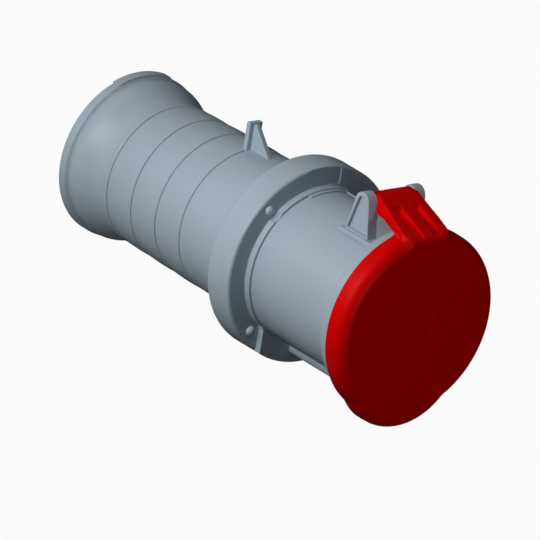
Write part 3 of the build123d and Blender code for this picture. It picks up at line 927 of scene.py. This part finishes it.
    def build(self, finishes: dict[str, bpy.types.Material]) -> None:
        """Model the handle and dress it.

        Args:
            finishes: materials by slot.
        """
        body = Blank.turned(self._outside() + self._inside())
        half = self.pad_angle / 2
        outer = self.rim_r + self.pad_rise
        pad = Blank.turned(
            [(self.rim_r - 1.5, 0.0), (outer, 0.0), (outer, self.rim_h), (self.rim_r - 1.5, self.rim_h)],
            sweep=self.pad_angle,
            start=90 - half,
        ).ease(0.35, 3)
        body.lay(pad, self._lug())
        body.finish("handle_shell_looks", finishes["grey_plastic"], "socket", "grey_plastic", "handle_shell")


@dataclass
class FrontHousing:
    """Front moulding: flange with its screw seats, tube with keyway, mouth, hinge ears and pads."""

    flange_back: float = 152.4
    flange_front: float = 159.4
    flange_r: float = 55.5
    spigot_r: float = 39.35
    spigot_z: float = 146.4
    ledge_bore_r: float = 35.6
    ledge_z: float = 160.0
    flange_ease: float = 1.5
    ring_r: float = 44.5
    ring_h: float = 4.0
    tube_r: float = 43.1
    seat_r: float = 42.0
    bore_r: float = 41.5
    tab: Point = (12.0, 2.3)
    tab_rise: float = 0.7
    mouth_flange_z: float = 226.3
    mouth_r: float = 48.8
    mouth_z: float = 238.8
    lip_r: float = 47.5
    rim_z: float = 246.8
    screw_circle_r: float = 49.2
    scallop_r: float = 5.8
    foot_half: float = 29.0
    foot_top: float = -30.0
    notch_half: float = 11.8
    notch_d: float = 0.45
    rail: Point = (13.0, 14.3)
    rail_top: float = 41.5
    hump_half: float = 8.75
    hump_y: float = -50.4
    hump_round: float = 4.0
    key_half: float = 4.5
    key_y: float = -46.0
    key_z: float = 165.0
    pad_half: float = 21.6
    pad_top: float = 41.1
    pad_z: float = 200.5
    hinge_y: float = HINGE_Y
    hinge_z: float = HINGE_Z
    ear_in: float = 13.3
    ear_out: float = 19.7
    ear_r: float = 5.6
    ear_rear: float = 202.8
    ear_front: float = 223.2
    ear_rim: float = 2.3
    ear_recess: float = 2.0
    pin_bore_r: float = 2.02
    pin_bore: Point = (-15.9, 25.0)

    def _section(self) -> list[Point]:
        """Half section of the turned body.

        Returns:
            The points, closed.
        """
        line_z = self.flange_front + self.ring_h
        ease = self.flange_ease
        points: list[Point] = [
            (self.ledge_bore_r, self.spigot_z),
            (self.spigot_r, self.spigot_z),
            (self.spigot_r, self.flange_back),
            (self.flange_r, self.flange_back),
        ]
        points += arc((self.flange_r - ease, self.flange_front - ease), ease, 0, 90, 7)
        points += [(self.ring_r + 0.3, self.flange_front), (self.ring_r, self.flange_front + 0.3)]
        points += arc((self.ring_r - 0.2, line_z - 0.2), 0.2, 0, 90, 3)
        points += [
            (self.tube_r, line_z),
            (self.tube_r, self.mouth_flange_z - 0.3),
            (self.tube_r + 0.3, self.mouth_flange_z),
            (self.mouth_r - 0.7, self.mouth_flange_z + 2.8),
            (self.mouth_r - 0.25, self.mouth_flange_z + 3.3),
            (self.mouth_r, self.mouth_flange_z + 4.0),
        ]
        points += arc((self.mouth_r - 0.4, self.mouth_z - 0.4), 0.4, 0, 90, 3)
        points += [(self.lip_r, self.mouth_z)]
        points += arc((self.lip_r - 0.5, self.rim_z - 0.5), 0.5, 0, 90, 4)
        points += arc((self.bore_r + 0.5, self.rim_z - 0.5), 0.5, 90, 180, 4)
        points += [
            (self.bore_r, self.key_z + 0.8),
            (self.seat_r, self.key_z + 0.3),
            (self.seat_r, self.ledge_z),
            (self.ledge_bore_r, self.ledge_z),
        ]
        return points

    def _ear(self, side: int) -> Blank:
        """Hinge ear with its triangular recess.

        Args:
            side: 1 for the ear at +X, -1 for the one at -X.

        Returns:
            The ear.
        """

        def outline(inset: float, foot: float) -> list[Point]:
            """Side view of the ear, smaller by an inset."""
            radius = self.ear_r - inset
            rear, front = self.ear_rear + inset, self.ear_front - inset
            points: list[Point] = []
            tilt_rear = self._flank(radius, self.hinge_z - rear, self.hinge_y - foot)
            tilt_front = self._flank(radius, front - self.hinge_z, self.hinge_y - foot)
            for point in arc((self.hinge_y, self.hinge_z), radius, -90 + tilt_rear, 90 - tilt_front, 17):
                points.append(point)
            points += [(foot, front), (foot, rear)]
            return points

        low, high = (self.ear_in, self.ear_out) if side > 0 else (-self.ear_out, -self.ear_in)
        ear = Blank.slab(outline(0.0, self.pad_top - 4), low, high).ease(0.45, 3)
        face = (high - self.ear_recess, high + 1) if side > 0 else (low - 1, low + self.ear_recess)
        recess = Blank.slab(outline(self.ear_rim, self.pad_top + self.ear_rim * 0.5), *face)
        return ear.cut(recess)

    @staticmethod
    def _flank(radius: float, run: float, drop: float) -> float:
        """Angle by which a flank's tangent point turns on the ear's round top.

        Args:
            radius: radius of the round top.
            run: distance along the socket from the pin to the foot.
            drop: height of the pin above the foot.

        Returns:
            The angle in degrees.
        """
        reach = math.hypot(run, drop)
        return math.degrees(math.atan2(run, drop) - math.asin(radius / reach)) if reach > radius else 0.0

    def _hump(self) -> Blank:
        """Housing of the keyway along the tube.

        Returns:
            The hump, with its sloping rear end.
        """
        front = self.mouth_flange_z + 3.2
        rear = self.flange_front + 0.2
        hump = Blank.slab(
            [(-self.bore_r - 0.5, rear), (-self.bore_r - 0.5, front), (self.hump_y, front), (self.hump_y, rear)],
            -self.hump_half,
            self.hump_half,
        )
        return hump.ease(
            self.hump_round, 8, where=lambda p: p.y < self.hump_y + 0.5 and abs(p.x) > self.hump_half - 0.5
        )

    def _foot(self) -> Blank:
        """Raised segment on the face of the collar below the tube.

        Returns:
            The segment.
        """
        line_z = self.flange_front + self.ring_h
        disc = Blank.bar(self.flange_r, self.flange_front - 1, line_z, steps=192)
        across, below = (-self.foot_half, self.foot_half), (-self.flange_r - 1, self.foot_top)
        segment = disc.keep(Blank.box(across, below, (self.flange_front - 2, line_z + 1)))
        segment.cut(Blank.bar(self.tube_r - 1.0, self.flange_front - 3, line_z + 2, steps=192))
        return segment.ease(0.45, 3)

    def build(self, finishes: dict[str, bpy.types.Material]) -> None:
        """Model the front housing and dress it.

        Args:
            finishes: materials by slot.
        """
        line_z = self.flange_front + self.ring_h
        body = Blank.turned(self._section())
        half, run = self.tab
        tab = Blank.turned(
            [
                (self.tube_r - 0.8, line_z - 1),
                (self.tube_r + self.tab_rise, line_z - 1),
                (self.tube_r + self.tab_rise, line_z + run),
                (self.tube_r - 0.8, line_z + run),
            ],
            sweep=2 * math.degrees(math.asin(half / self.tube_r)),
            start=90 - math.degrees(math.asin(half / self.tube_r)),
        )
        rail = Blank.box(self.rail, (self.rail_top - 3, self.rail_top), (line_z - 1, self.pad_z + 1)).ease(0.25, 2)
        saddle = Blank.box(
            (-self.pad_half, self.pad_half), (self.pad_top - 3.1, self.pad_top), (self.pad_z, self.mouth_flange_z + 2.9)
        ).ease(0.7, 3)
        body.join(tab, rail, saddle, self._hump(), self._foot())
        body.cut(
            Blank.bar(self.seat_r, self.ledge_z, self.key_z + 0.3, steps=192),
            Blank.bar(self.bore_r, self.key_z, self.rim_z + 1, steps=192),
            Blank.box((-self.key_half, self.key_half), (self.key_y, 0.0), (self.key_z, self.rim_z + 1)),
            Blank.box(
                (-self.notch_half, self.notch_half),
                (self.ring_r + 0.05, self.flange_r + 1),
                (self.flange_front - self.notch_d, self.flange_front + 1),
            ),
        )
        for angle in SCREW_ANGLES:
            body.cut(Blank.bar(self.scallop_r, self.flange_front, line_z + 1, angle, self.screw_circle_r))
        for side in (1, -1):
            ear = self._ear(side)
            ear.cut(Blank.cross_bar(self.pin_bore_r, self.pin_bore, self.hinge_y, self.hinge_z))
            body.lay(ear)
        body.finish("front_housing_looks", finishes["grey_plastic"], "socket", "grey_plastic", "front_housing")


@dataclass
class CoverScrews:
    """Four dome-headed screws on the face of the collar."""

    circle_r: float = 49.2
    seat_z: float = 159.4
    head_r: float = 2.75
    head_h: float = 2.2
    shank_r: float = 1.5
    length: float = 16.5

    def build(self, finishes: dict[str, bpy.types.Material]) -> None:
        """Model the screws and dress them.

        Args:
            finishes: materials by slot.
        """
        dome = self.head_h * 0.65
        ball = (self.head_r**2 + dome**2) / (2 * dome)
        rise = math.degrees(math.asin(self.head_r / ball))
        centre = (0.0, self.seat_z + self.head_h - ball)
        profile = [(0.0, self.seat_z - self.length), (self.shank_r - 0.3, self.seat_z - self.length)]
        profile += [(self.shank_r, self.seat_z - self.length + 0.3), (self.shank_r, self.seat_z)]
        profile += [(self.head_r - 0.15, self.seat_z), (self.head_r, self.seat_z + 0.15)]
        profile += arc(centre, ball, 90 - rise, 90, 10)
        screws = Blank()
        for angle in SCREW_ANGLES:
            screws.lay(Blank.turned(profile, steps=40).move((self.circle_r, 0, 0)).spin(angle))
        screws.finish("cover_screws_looks", finishes["screw_cap"], "socket", "screw_cap", "cover_screws")


@dataclass
class SpringLid:
    """Round spring lid: disc with pull lobe, soft rim, hinge arm with three ribs, shallow panel."""

    disc_r: float = 53.3
    lobe_r: float = 38.0
    lobe_x: float = -1.2
    lobe_y: float = -21.1
    neck_r: float = 9.0
    rear_z: float = 239.2
    face_z: float = 251.4
    draft: float = 0.32
    round_r: float = 7.0
    round_steps: int = 14
    wall: float = 3.2
    ceiling_z: float = 248.4
    inner_round: float = 3.0
    hinge_y: float = HINGE_Y
    hinge_z: float = HINGE_Z
    knuckle_r: float = 4.8
    flat: float = 6.5
    half_pin: float = 13.0
    half_face: float = 16.2
    lean: float = -1.4
    crest_round: float = 3.6
    flank_round: float = 4.2
    crest_draft: float = 2.4
    draft_run: float = 9.0
    draft_end: float = 243.0
    crest_stops: Point = (232.0, 241.0)
    arm_inside: tuple[Point, Point] = ((44.0, 249.6), (50.4, 240.0))
    root_half: float = 15.2
    root_x: float = -1.0
    root_corner: float = 4.0
    root_drop: float = 2.9
    root_span: Point = (-24.0, 22.0)
    envelope: tuple[float, float, float] = (90.0, 180.0, 0.15)
    widen_z: float = 223.5
    root_y: float = 51.0
    left_channel: Point = (-10.6, -3.9)
    right_channel: Point = (2.7, 8.0)
    channel_z: float = 227.4
    channel_d: float = 4.6
    channel_end: float = 0.35
    channel_fade: float = 1.6
    rib_round: float = 1.2
    rib_round_z: Point = (229.0, 237.0)
    panel: tuple[float, float, float, float] = (19.2, 29.0, 1.5, 0.12)
    coil_r: float = 3.8
    coil_half: float = 6.4
    pin_bore_r: float = 2.06
    window: Point = (49.8, 203.9)
    lid_leg_slot: Point = (3.9, 5.7)
    lid_leg_top: float = 57.4
    lid_leg_end: float = 224.6
    rear_leg_slot: Point = (-5.8, -3.8)

    def outline(self, inset: float = 0.0, root: float = 0.0) -> list[Point]:
        """Disc and lobe with their hollow necks, as one outline.

        Args:
            inset: distance by which the outline is smaller.
            root: how far the root of the arm reaches in Y, or 0 for none.

        Returns:
            The points, counter-clockwise.
        """
        disc, tip, neck = self.disc_r - inset, self.lobe_r - inset, self.neck_r + inset
        lobe = Vector((self.lobe_x, self.lobe_y))
        reach, arm = disc + neck, tip + neck
        along = (reach**2 - arm**2 + lobe.length_squared) / (2 * lobe.length)
        across = math.sqrt(reach**2 - along**2)
        ahead = lobe.normalized()
        aside = Vector((-ahead.y, ahead.x))
        right, left = ahead * along + aside * across, ahead * along - aside * across

        def heading(point: Vector) -> float:
            """Angle of a direction, between -90 and 270 degrees."""
            angle = math.degrees(math.atan2(point.y, point.x))
            return angle if angle > -90 else angle + 360

        up, low = heading(right), heading(right - lobe)
        up_left, low_left = heading(left), heading(left - lobe)
        points = self._root(inset, root, up, up_left) if root else arc((0, 0), disc, up, up_left, 120)
        points += arc(tuple(left), neck, up_left - 180, low_left - 180, 8)[1:-1]
        points += arc(tuple(lobe), tip, low_left, 360 + low, 60)
        points += arc(tuple(right), neck, 180 + low, 180 + up, 8)[1:-1]
        return points

    def _root(self, inset: float, reach: float, start: float, end: float) -> list[Point]:
        """Upper part of the outline with the root of the arm and its two hollow corners.

        Args:
            inset: distance by which the outline is smaller.
            reach: how far the root reaches in Y.
            start: angle at which this part starts, in degrees.
            end: angle at which it ends.

        Returns:
            The points, counter-clockwise.
        """
        disc, corner = self.disc_r - inset, self.root_corner + inset
        right, left = self.root_x + self.root_half - inset, self.root_x - self.root_half + inset
        right_y = math.sqrt((disc + corner) ** 2 - (right + corner) ** 2)
        left_y = math.sqrt((disc + corner) ** 2 - (left - corner) ** 2)
        right_turn = math.degrees(math.atan2(right_y, right + corner))
        left_turn = math.degrees(math.atan2(left_y, left - corner))
        points = arc((0, 0), disc, start, right_turn, 60)
        points += arc((right + corner, right_y), corner, right_turn + 180, 180, 8)[1:]
        points += [(right, reach - inset), (left, reach - inset)]
        points += arc((left - corner, left_y), corner, 360, left_turn + 180, 8)
        return points + arc((0, 0), disc, left_turn, end, 60)[1:]

    def _disc(self, root: float, low: float, inset: float = 0.0) -> Blank:
        """Disc with its soft rim.

        Args:
            root: how far the root of the arm reaches in Y.
            low: height of its rear face.
            inset: distance by which it is smaller all round.

        Returns:
            The disc, still solid.
        """
        shoulder = self.face_z - self.round_r
        blank = Blank.prism(self.outline(0.35 + inset, root), low, low + 0.01)
        steps = [(-0.35, 0.35), (self.draft * 0.4, shoulder - low - 0.36)]
        last = (0.0, 0.0)
        for i in range(1, self.round_steps + 1):
            angle = math.radians(90 * i / self.round_steps)
            point = (self.round_r * (1 - math.cos(angle)), self.round_r * math.sin(angle))
            steps.append((point[0] - last[0], point[1] - last[1]))
            last = point
        return blank.raise_face(steps)

    def _arm(self) -> Blank:
        """Hinge arm: knuckle, flat top, slope to the face, and its two channels.

        Returns:
            The arm.
        """
        top = (self.hinge_y + self.knuckle_r, self.hinge_z + self.flat)
        outline = arc((self.hinge_y, self.hinge_z), self.knuckle_r, 200, 360, 17)
        outline += [top]
        outline += [self._crest(z) for z in (self.widen_z, *self.crest_stops)]
        outline += self._crest_end()
        inside, foot = self.arm_inside
        outline += [(inside[0], self.face_z - 0.02), inside, foot, (foot[0], self.rear_z)]
        outline += [(self.hinge_y - self.knuckle_r - 0.6, self.widen_z)]
        arm = Blank.slab(outline, -self.half_pin, self.half_pin)
        for vert in arm.shape.verts:
            if vert.co.z > self.widen_z - 0.01:
                share = (vert.co.z - self.widen_z) / (self.face_z - self.widen_z)
                wide = 1 + share * (self.half_face / self.half_pin - 1)
                vert.co.x = vert.co.x * wide + share * self.lean
                if vert.co.x < 0 and vert.co.y > self._crest(vert.co.z)[0] - 1.0:
                    rise = (vert.co.z - self.widen_z + 3.0) / self.draft_run
                    fade = (self.draft_end - vert.co.z) / self.draft_run
                    vert.co.x += self.crest_draft * max(0.0, min(1.0, rise, fade))
        arm.ease(self.flank_round, 10, 25.0, where=lambda p: abs(p.x) > self.half_pin - 4.5 and self._near_crest(p))
        low, high, root_in = self.rear_z + 0.02, self.face_z - 0.05, foot[0] - 1.0
        root = [(inside[0], high), inside, (root_in, self.rear_z + 0.4), (root_in, low)]
        root += [(self._crest(z)[0] - self.root_drop, z) for z in (low, high)]
        arm.join(Blank.slab(root, *self.root_span))
        arm.keep(self._disc(*self.envelope))
        for side in (1, -1):
            arm.cut(self._channel(side))
        return arm.ease(self.rib_round, 3, 50.0, where=self._on_rib)

    def _on_rib(self, point: Vector) -> bool:
        """Whether a point lies on the edge of a rib, where the channels are deep."""
        low, high = self.rib_round_z
        return low < point.z < high and abs(point.y - self._crest(point.z)[0]) < 0.2 and abs(point.x) < 11.5

    def _crest_end(self) -> list[Point]:
        """Round between the sloping top of the arm and the face of the lid.

        Returns:
            The points of the round.
        """
        y0, z0 = self.hinge_y + self.knuckle_r, self.hinge_z + self.flat
        slope = math.degrees(math.atan2(self.face_z - z0, self.root_y - y0))
        centre_z = self.face_z - 0.02 - self.crest_round
        turn = math.radians(180 - slope)
        centre_y = self.root_y - self.crest_round * math.tan(turn / 2)
        return arc((centre_y, centre_z), self.crest_round, slope - 90, 90, 8)

    def _near_crest(self, point: Vector) -> bool:
        """Whether a point lies on the sloping top of the arm or on the face beside it."""
        return point.z > self.widen_z and point.y > min(self._crest(point.z)[0] - 1.5, 44.5)

    def _crest(self, z: float) -> Point:
        """Point of the sloping top of the arm at a height."""
        y0, z0 = self.hinge_y + self.knuckle_r, self.hinge_z + self.flat
        return (y0 + (self.root_y - y0) * (z - z0) / (self.face_z - z0), z)

    def _channel(self, side: int) -> Blank:
        """Channel beside the middle rib.

        Args:
            side: 1 for the one at +X, -1 for the one at -X.

        Returns:
            The tool that cuts it.
        """
        start = self._crest(self.channel_z)
        floor = []
        for i in range(13):
            t = i / 12
            z = self.channel_z + (self.face_z + 0.3 - self.channel_z) * t
            depth = self.channel_end + (self.channel_d - self.channel_end) * (1 - t) ** self.channel_fade
            floor.append((self._crest(z)[0] - depth, z))
        rest = [(self.hinge_y + 8, self.face_z + 0.3), (self.hinge_y + 8, self.channel_z), (start[0] + 0.3, start[1])]
        return Blank.slab(floor + rest, *(self.right_channel if side > 0 else self.left_channel))

    def build(self, finishes: dict[str, bpy.types.Material]) -> None:
        """Model the lid and dress it.

        Args:
            finishes: materials by slot.
        """
        lid = self._disc(0.0, self.rear_z)
        inner = Blank.prism(self.outline(self.wall), self.rear_z - 1, self.ceiling_z - self.inner_round)
        corner = [(self.inner_round * 0.25, self.inner_round * 0.6), (self.inner_round * 0.75, self.inner_round * 0.4)]
        lid.join(self._arm())
        lid.cut(inner.raise_face(corner))
        across = (-self.coil_half, self.coil_half)
        window_y, window_z = self.window
        width, height, middle, depth = self.panel
        tool = Blank.box(
            (-width / 2, width / 2), (middle - height / 2, middle + height / 2), (self.face_z - depth, self.face_z + 1)
        ).ease(2.0, 6, where=lambda p: abs(p.x) > width / 2 - 0.01 and abs(p.y - middle) > height / 2 - 0.01)
        lid.cut(
            tool,
            Blank.cross_bar(self.pin_bore_r, (-self.half_pin - 1, self.half_pin + 1), self.hinge_y, self.hinge_z),
            Blank.cross_bar(self.coil_r, across, self.hinge_y, self.hinge_z),
            Blank.box(across, (window_y, self.hinge_y), (window_z, self.hinge_z + self.coil_r)),
            Blank.box(self.lid_leg_slot, (window_y, self.lid_leg_top), (self.hinge_z, self.lid_leg_end)),
            Blank.box(self.rear_leg_slot, (self.hinge_y - 1, self.hinge_y + 6), (window_z, self.hinge_z + 0.3)),
        )
        lid.finish("lid_looks", finishes["red_plastic"], "cover", "red_plastic", "lid")


@dataclass
class LidSpring:
    """Torsion spring of the lid: wound coil with its rear leg, and the leg that presses on the lid."""

    hinge_y: float = HINGE_Y
    hinge_z: float = HINGE_Z
    wire_r: float = 0.6
    coil_r: float = 2.8
    coil_half: float = 5.3
    turns: int = 8
    turn_steps: int = 32
    leg_x: float = 4.8
    rear_leg_end: float = 46.9
    lid_leg_end: float = 224.0

    def _wound(self) -> Blank:
        """Wire wound round the pin.

        Returns:
            The coil.
        """
        coil = Blank()
        ring = bmesh.ops.create_circle(coil.shape, cap_ends=True, segments=12, radius=self.wire_r)["verts"]
        bmesh.ops.translate(coil.shape, verts=ring, vec=(-self.coil_half, self.hinge_y - self.coil_r, self.hinge_z))
        steps = self.turn_steps * self.turns
        bmesh.ops.spin(
            coil.shape,
            geom=list(coil.shape.faces),
            cent=(0, self.hinge_y, self.hinge_z),
            axis=(1, 0, 0),
            dvec=(2 * self.coil_half / steps, 0, 0),
            angle=2 * math.pi * self.turns,
            steps=steps,
            use_merge=False,
            use_duplicate=False,
        )
        return coil.tidy()

    def build(self, finishes: dict[str, bpy.types.Material]) -> None:
        """Model the spring and dress it.

        Args:
            finishes: materials by slot.
        """
        foot_z = self.hinge_z - self.coil_r
        rear = Blank.bar(self.wire_r, self.rear_leg_end, self.hinge_y, steps=16).lie(LIE_ALONG_Y).tidy()
        coil = self._wound().lay(rear.move((-self.leg_x, 0, foot_z)))
        coil.finish("lid_spring_coil", finishes["steel"], "socket", "steel", "lid_spring")
        leg = Blank.bar(self.wire_r, self.hinge_z, self.lid_leg_end, steps=16)
        leg.ease(0.25, 2, 60.0).move((self.leg_x, self.hinge_y - self.coil_r, 0))
        leg.finish("lid_spring_leg", finishes["steel"], "cover", "steel", "lid_spring")


@dataclass
class Studio:
    """Floor, lamps, world and the camera at the photograph's angle."""

    right: tuple[float, float, float] = (0.770, 0.149, 0.618)
    up: tuple[float, float, float] = (0.1224, 0.9197, -0.3728)
    aim: tuple[float, float, float] = (0.0773, -0.0633, 0.087)
    picture_width: float = 0.2888
    lens: float = 1000.0
    sensor: float = 36.0
    key_from: tuple[float, float, float] = (-0.829, 0.559, 0.02)
    key_power: float = 7.0
    key_size: float = 0.5
    strip_power: float = 0.80
    strip_height: float = 0.115
    strip_size: tuple[float, float] = (0.1, 0.42)
    strip_distance: float = 0.36
    front_power: float = 3.0
    front_size: float = 0.15
    world_light: float = 0.035
    floor_size: float = 30.0

    def back(self) -> Vector:
        """Direction from the object to the camera."""
        return Vector(self.right).cross(Vector(self.up)).normalized()

    def build(self) -> None:
        """Set floor, lamps, world, camera and the view transform."""
        self._floor()
        self._lamps()
        self._world()
        self._camera()
        bpy.context.scene.view_settings.view_transform = "Standard"

    def _floor(self) -> None:
        """Wide pale floor under the rim."""
        shape = bmesh.new()
        bmesh.ops.create_grid(shape, x_segments=1, y_segments=1, size=self.floor_size)
        mesh = bpy.data.meshes.new("floor")
        shape.to_mesh(mesh)
        shape.free()
        mesh.materials.append(Paper().make())
        floor = bpy.data.objects.new("floor", mesh)
        bpy.context.scene.collection.objects.link(floor)

    def _lamp(
        self,
        name: str,
        toward: Sequence[float],
        power: float,
        size: tuple[float, float],
        distance: float = 1.6,
        shadow: bool = True,
        height: float = 0.15,
    ) -> None:
        """Rectangular lamp that looks at the object and stays out of the picture.

        Args:
            name: the lamp's name.
            toward: direction from the object to the lamp.
            power: watts.
            size: width and height in metres.
            distance: metres from the object.
            shadow: whether it casts shadows.
            height: height of the point that it looks at, in metres.
        """
        data = bpy.data.lights.new(name, "AREA")
        data.energy = power
        data.shape = "RECTANGLE"
        data.size, data.size_y = size
        data.use_shadow = shadow
        lamp = bpy.data.objects.new(name, data)
        lamp.visible_camera = False
        direction = Vector(toward).normalized()
        lamp.location = Vector((0.0, 0.0, height)) + direction * distance
        lamp.rotation_euler = direction.to_track_quat("Z", "Y").to_euler()
        bpy.context.scene.collection.objects.link(lamp)

    def _lamps(self) -> None:
        """Key and strip beside the socket at right angles to its axis, and a weak lamp in front of the lid."""
        self._lamp("key", self.key_from, self.key_power, (self.key_size, self.key_size))
        self._lamp(
            "strip", self.key_from, self.strip_power, self.strip_size, self.strip_distance, False, self.strip_height
        )
        self._lamp("front", (0.0, 0.0, 1.0), self.front_power, (self.front_size, self.front_size))

    def _world(self) -> None:
        """Even light from all round, and white behind the floor."""
        world = bpy.data.worlds.new("studio_world")
        bpy.context.scene.world = world
        world.use_nodes = True
        background = world.node_tree.nodes["Background"]
        background.inputs["Color"].default_value = (1.0, 1.0, 1.0, 1.0)
        background.inputs["Strength"].default_value = self.world_light

    def _camera(self) -> None:
        """Long lens at the angle of the photograph."""
        data = bpy.data.cameras.new("camera")
        data.lens = self.lens
        data.sensor_width = self.sensor
        distance = self.picture_width * self.lens / self.sensor
        data.clip_start = 0.5
        data.clip_end = 60.0
        camera = bpy.data.objects.new("camera", data)
        back = self.back()
        right = Vector(self.right).normalized()
        upward = back.cross(right)
        target = right * self.aim[0] + upward * self.aim[1] + back * self.aim[2]
        turn = Matrix((right, upward, back)).transposed().to_4x4()
        camera.matrix_world = Matrix.Translation(target + back * distance) @ turn
        bpy.context.scene.collection.objects.link(camera)
        bpy.context.scene.camera = camera


def main() -> None:
    """Dress the frame and set the studio."""
    logging.basicConfig(level=logging.INFO, format="%(name)s: %(message)s")
    materials = Palette().dress()
    dress_frame(materials)
    for piece in (HandleShell(), FrontHousing(), CoverScrews(), SpringLid(), LidSpring()):
        piece.build(materials)
    Studio().build()


if __name__ == "__main__":
    main()
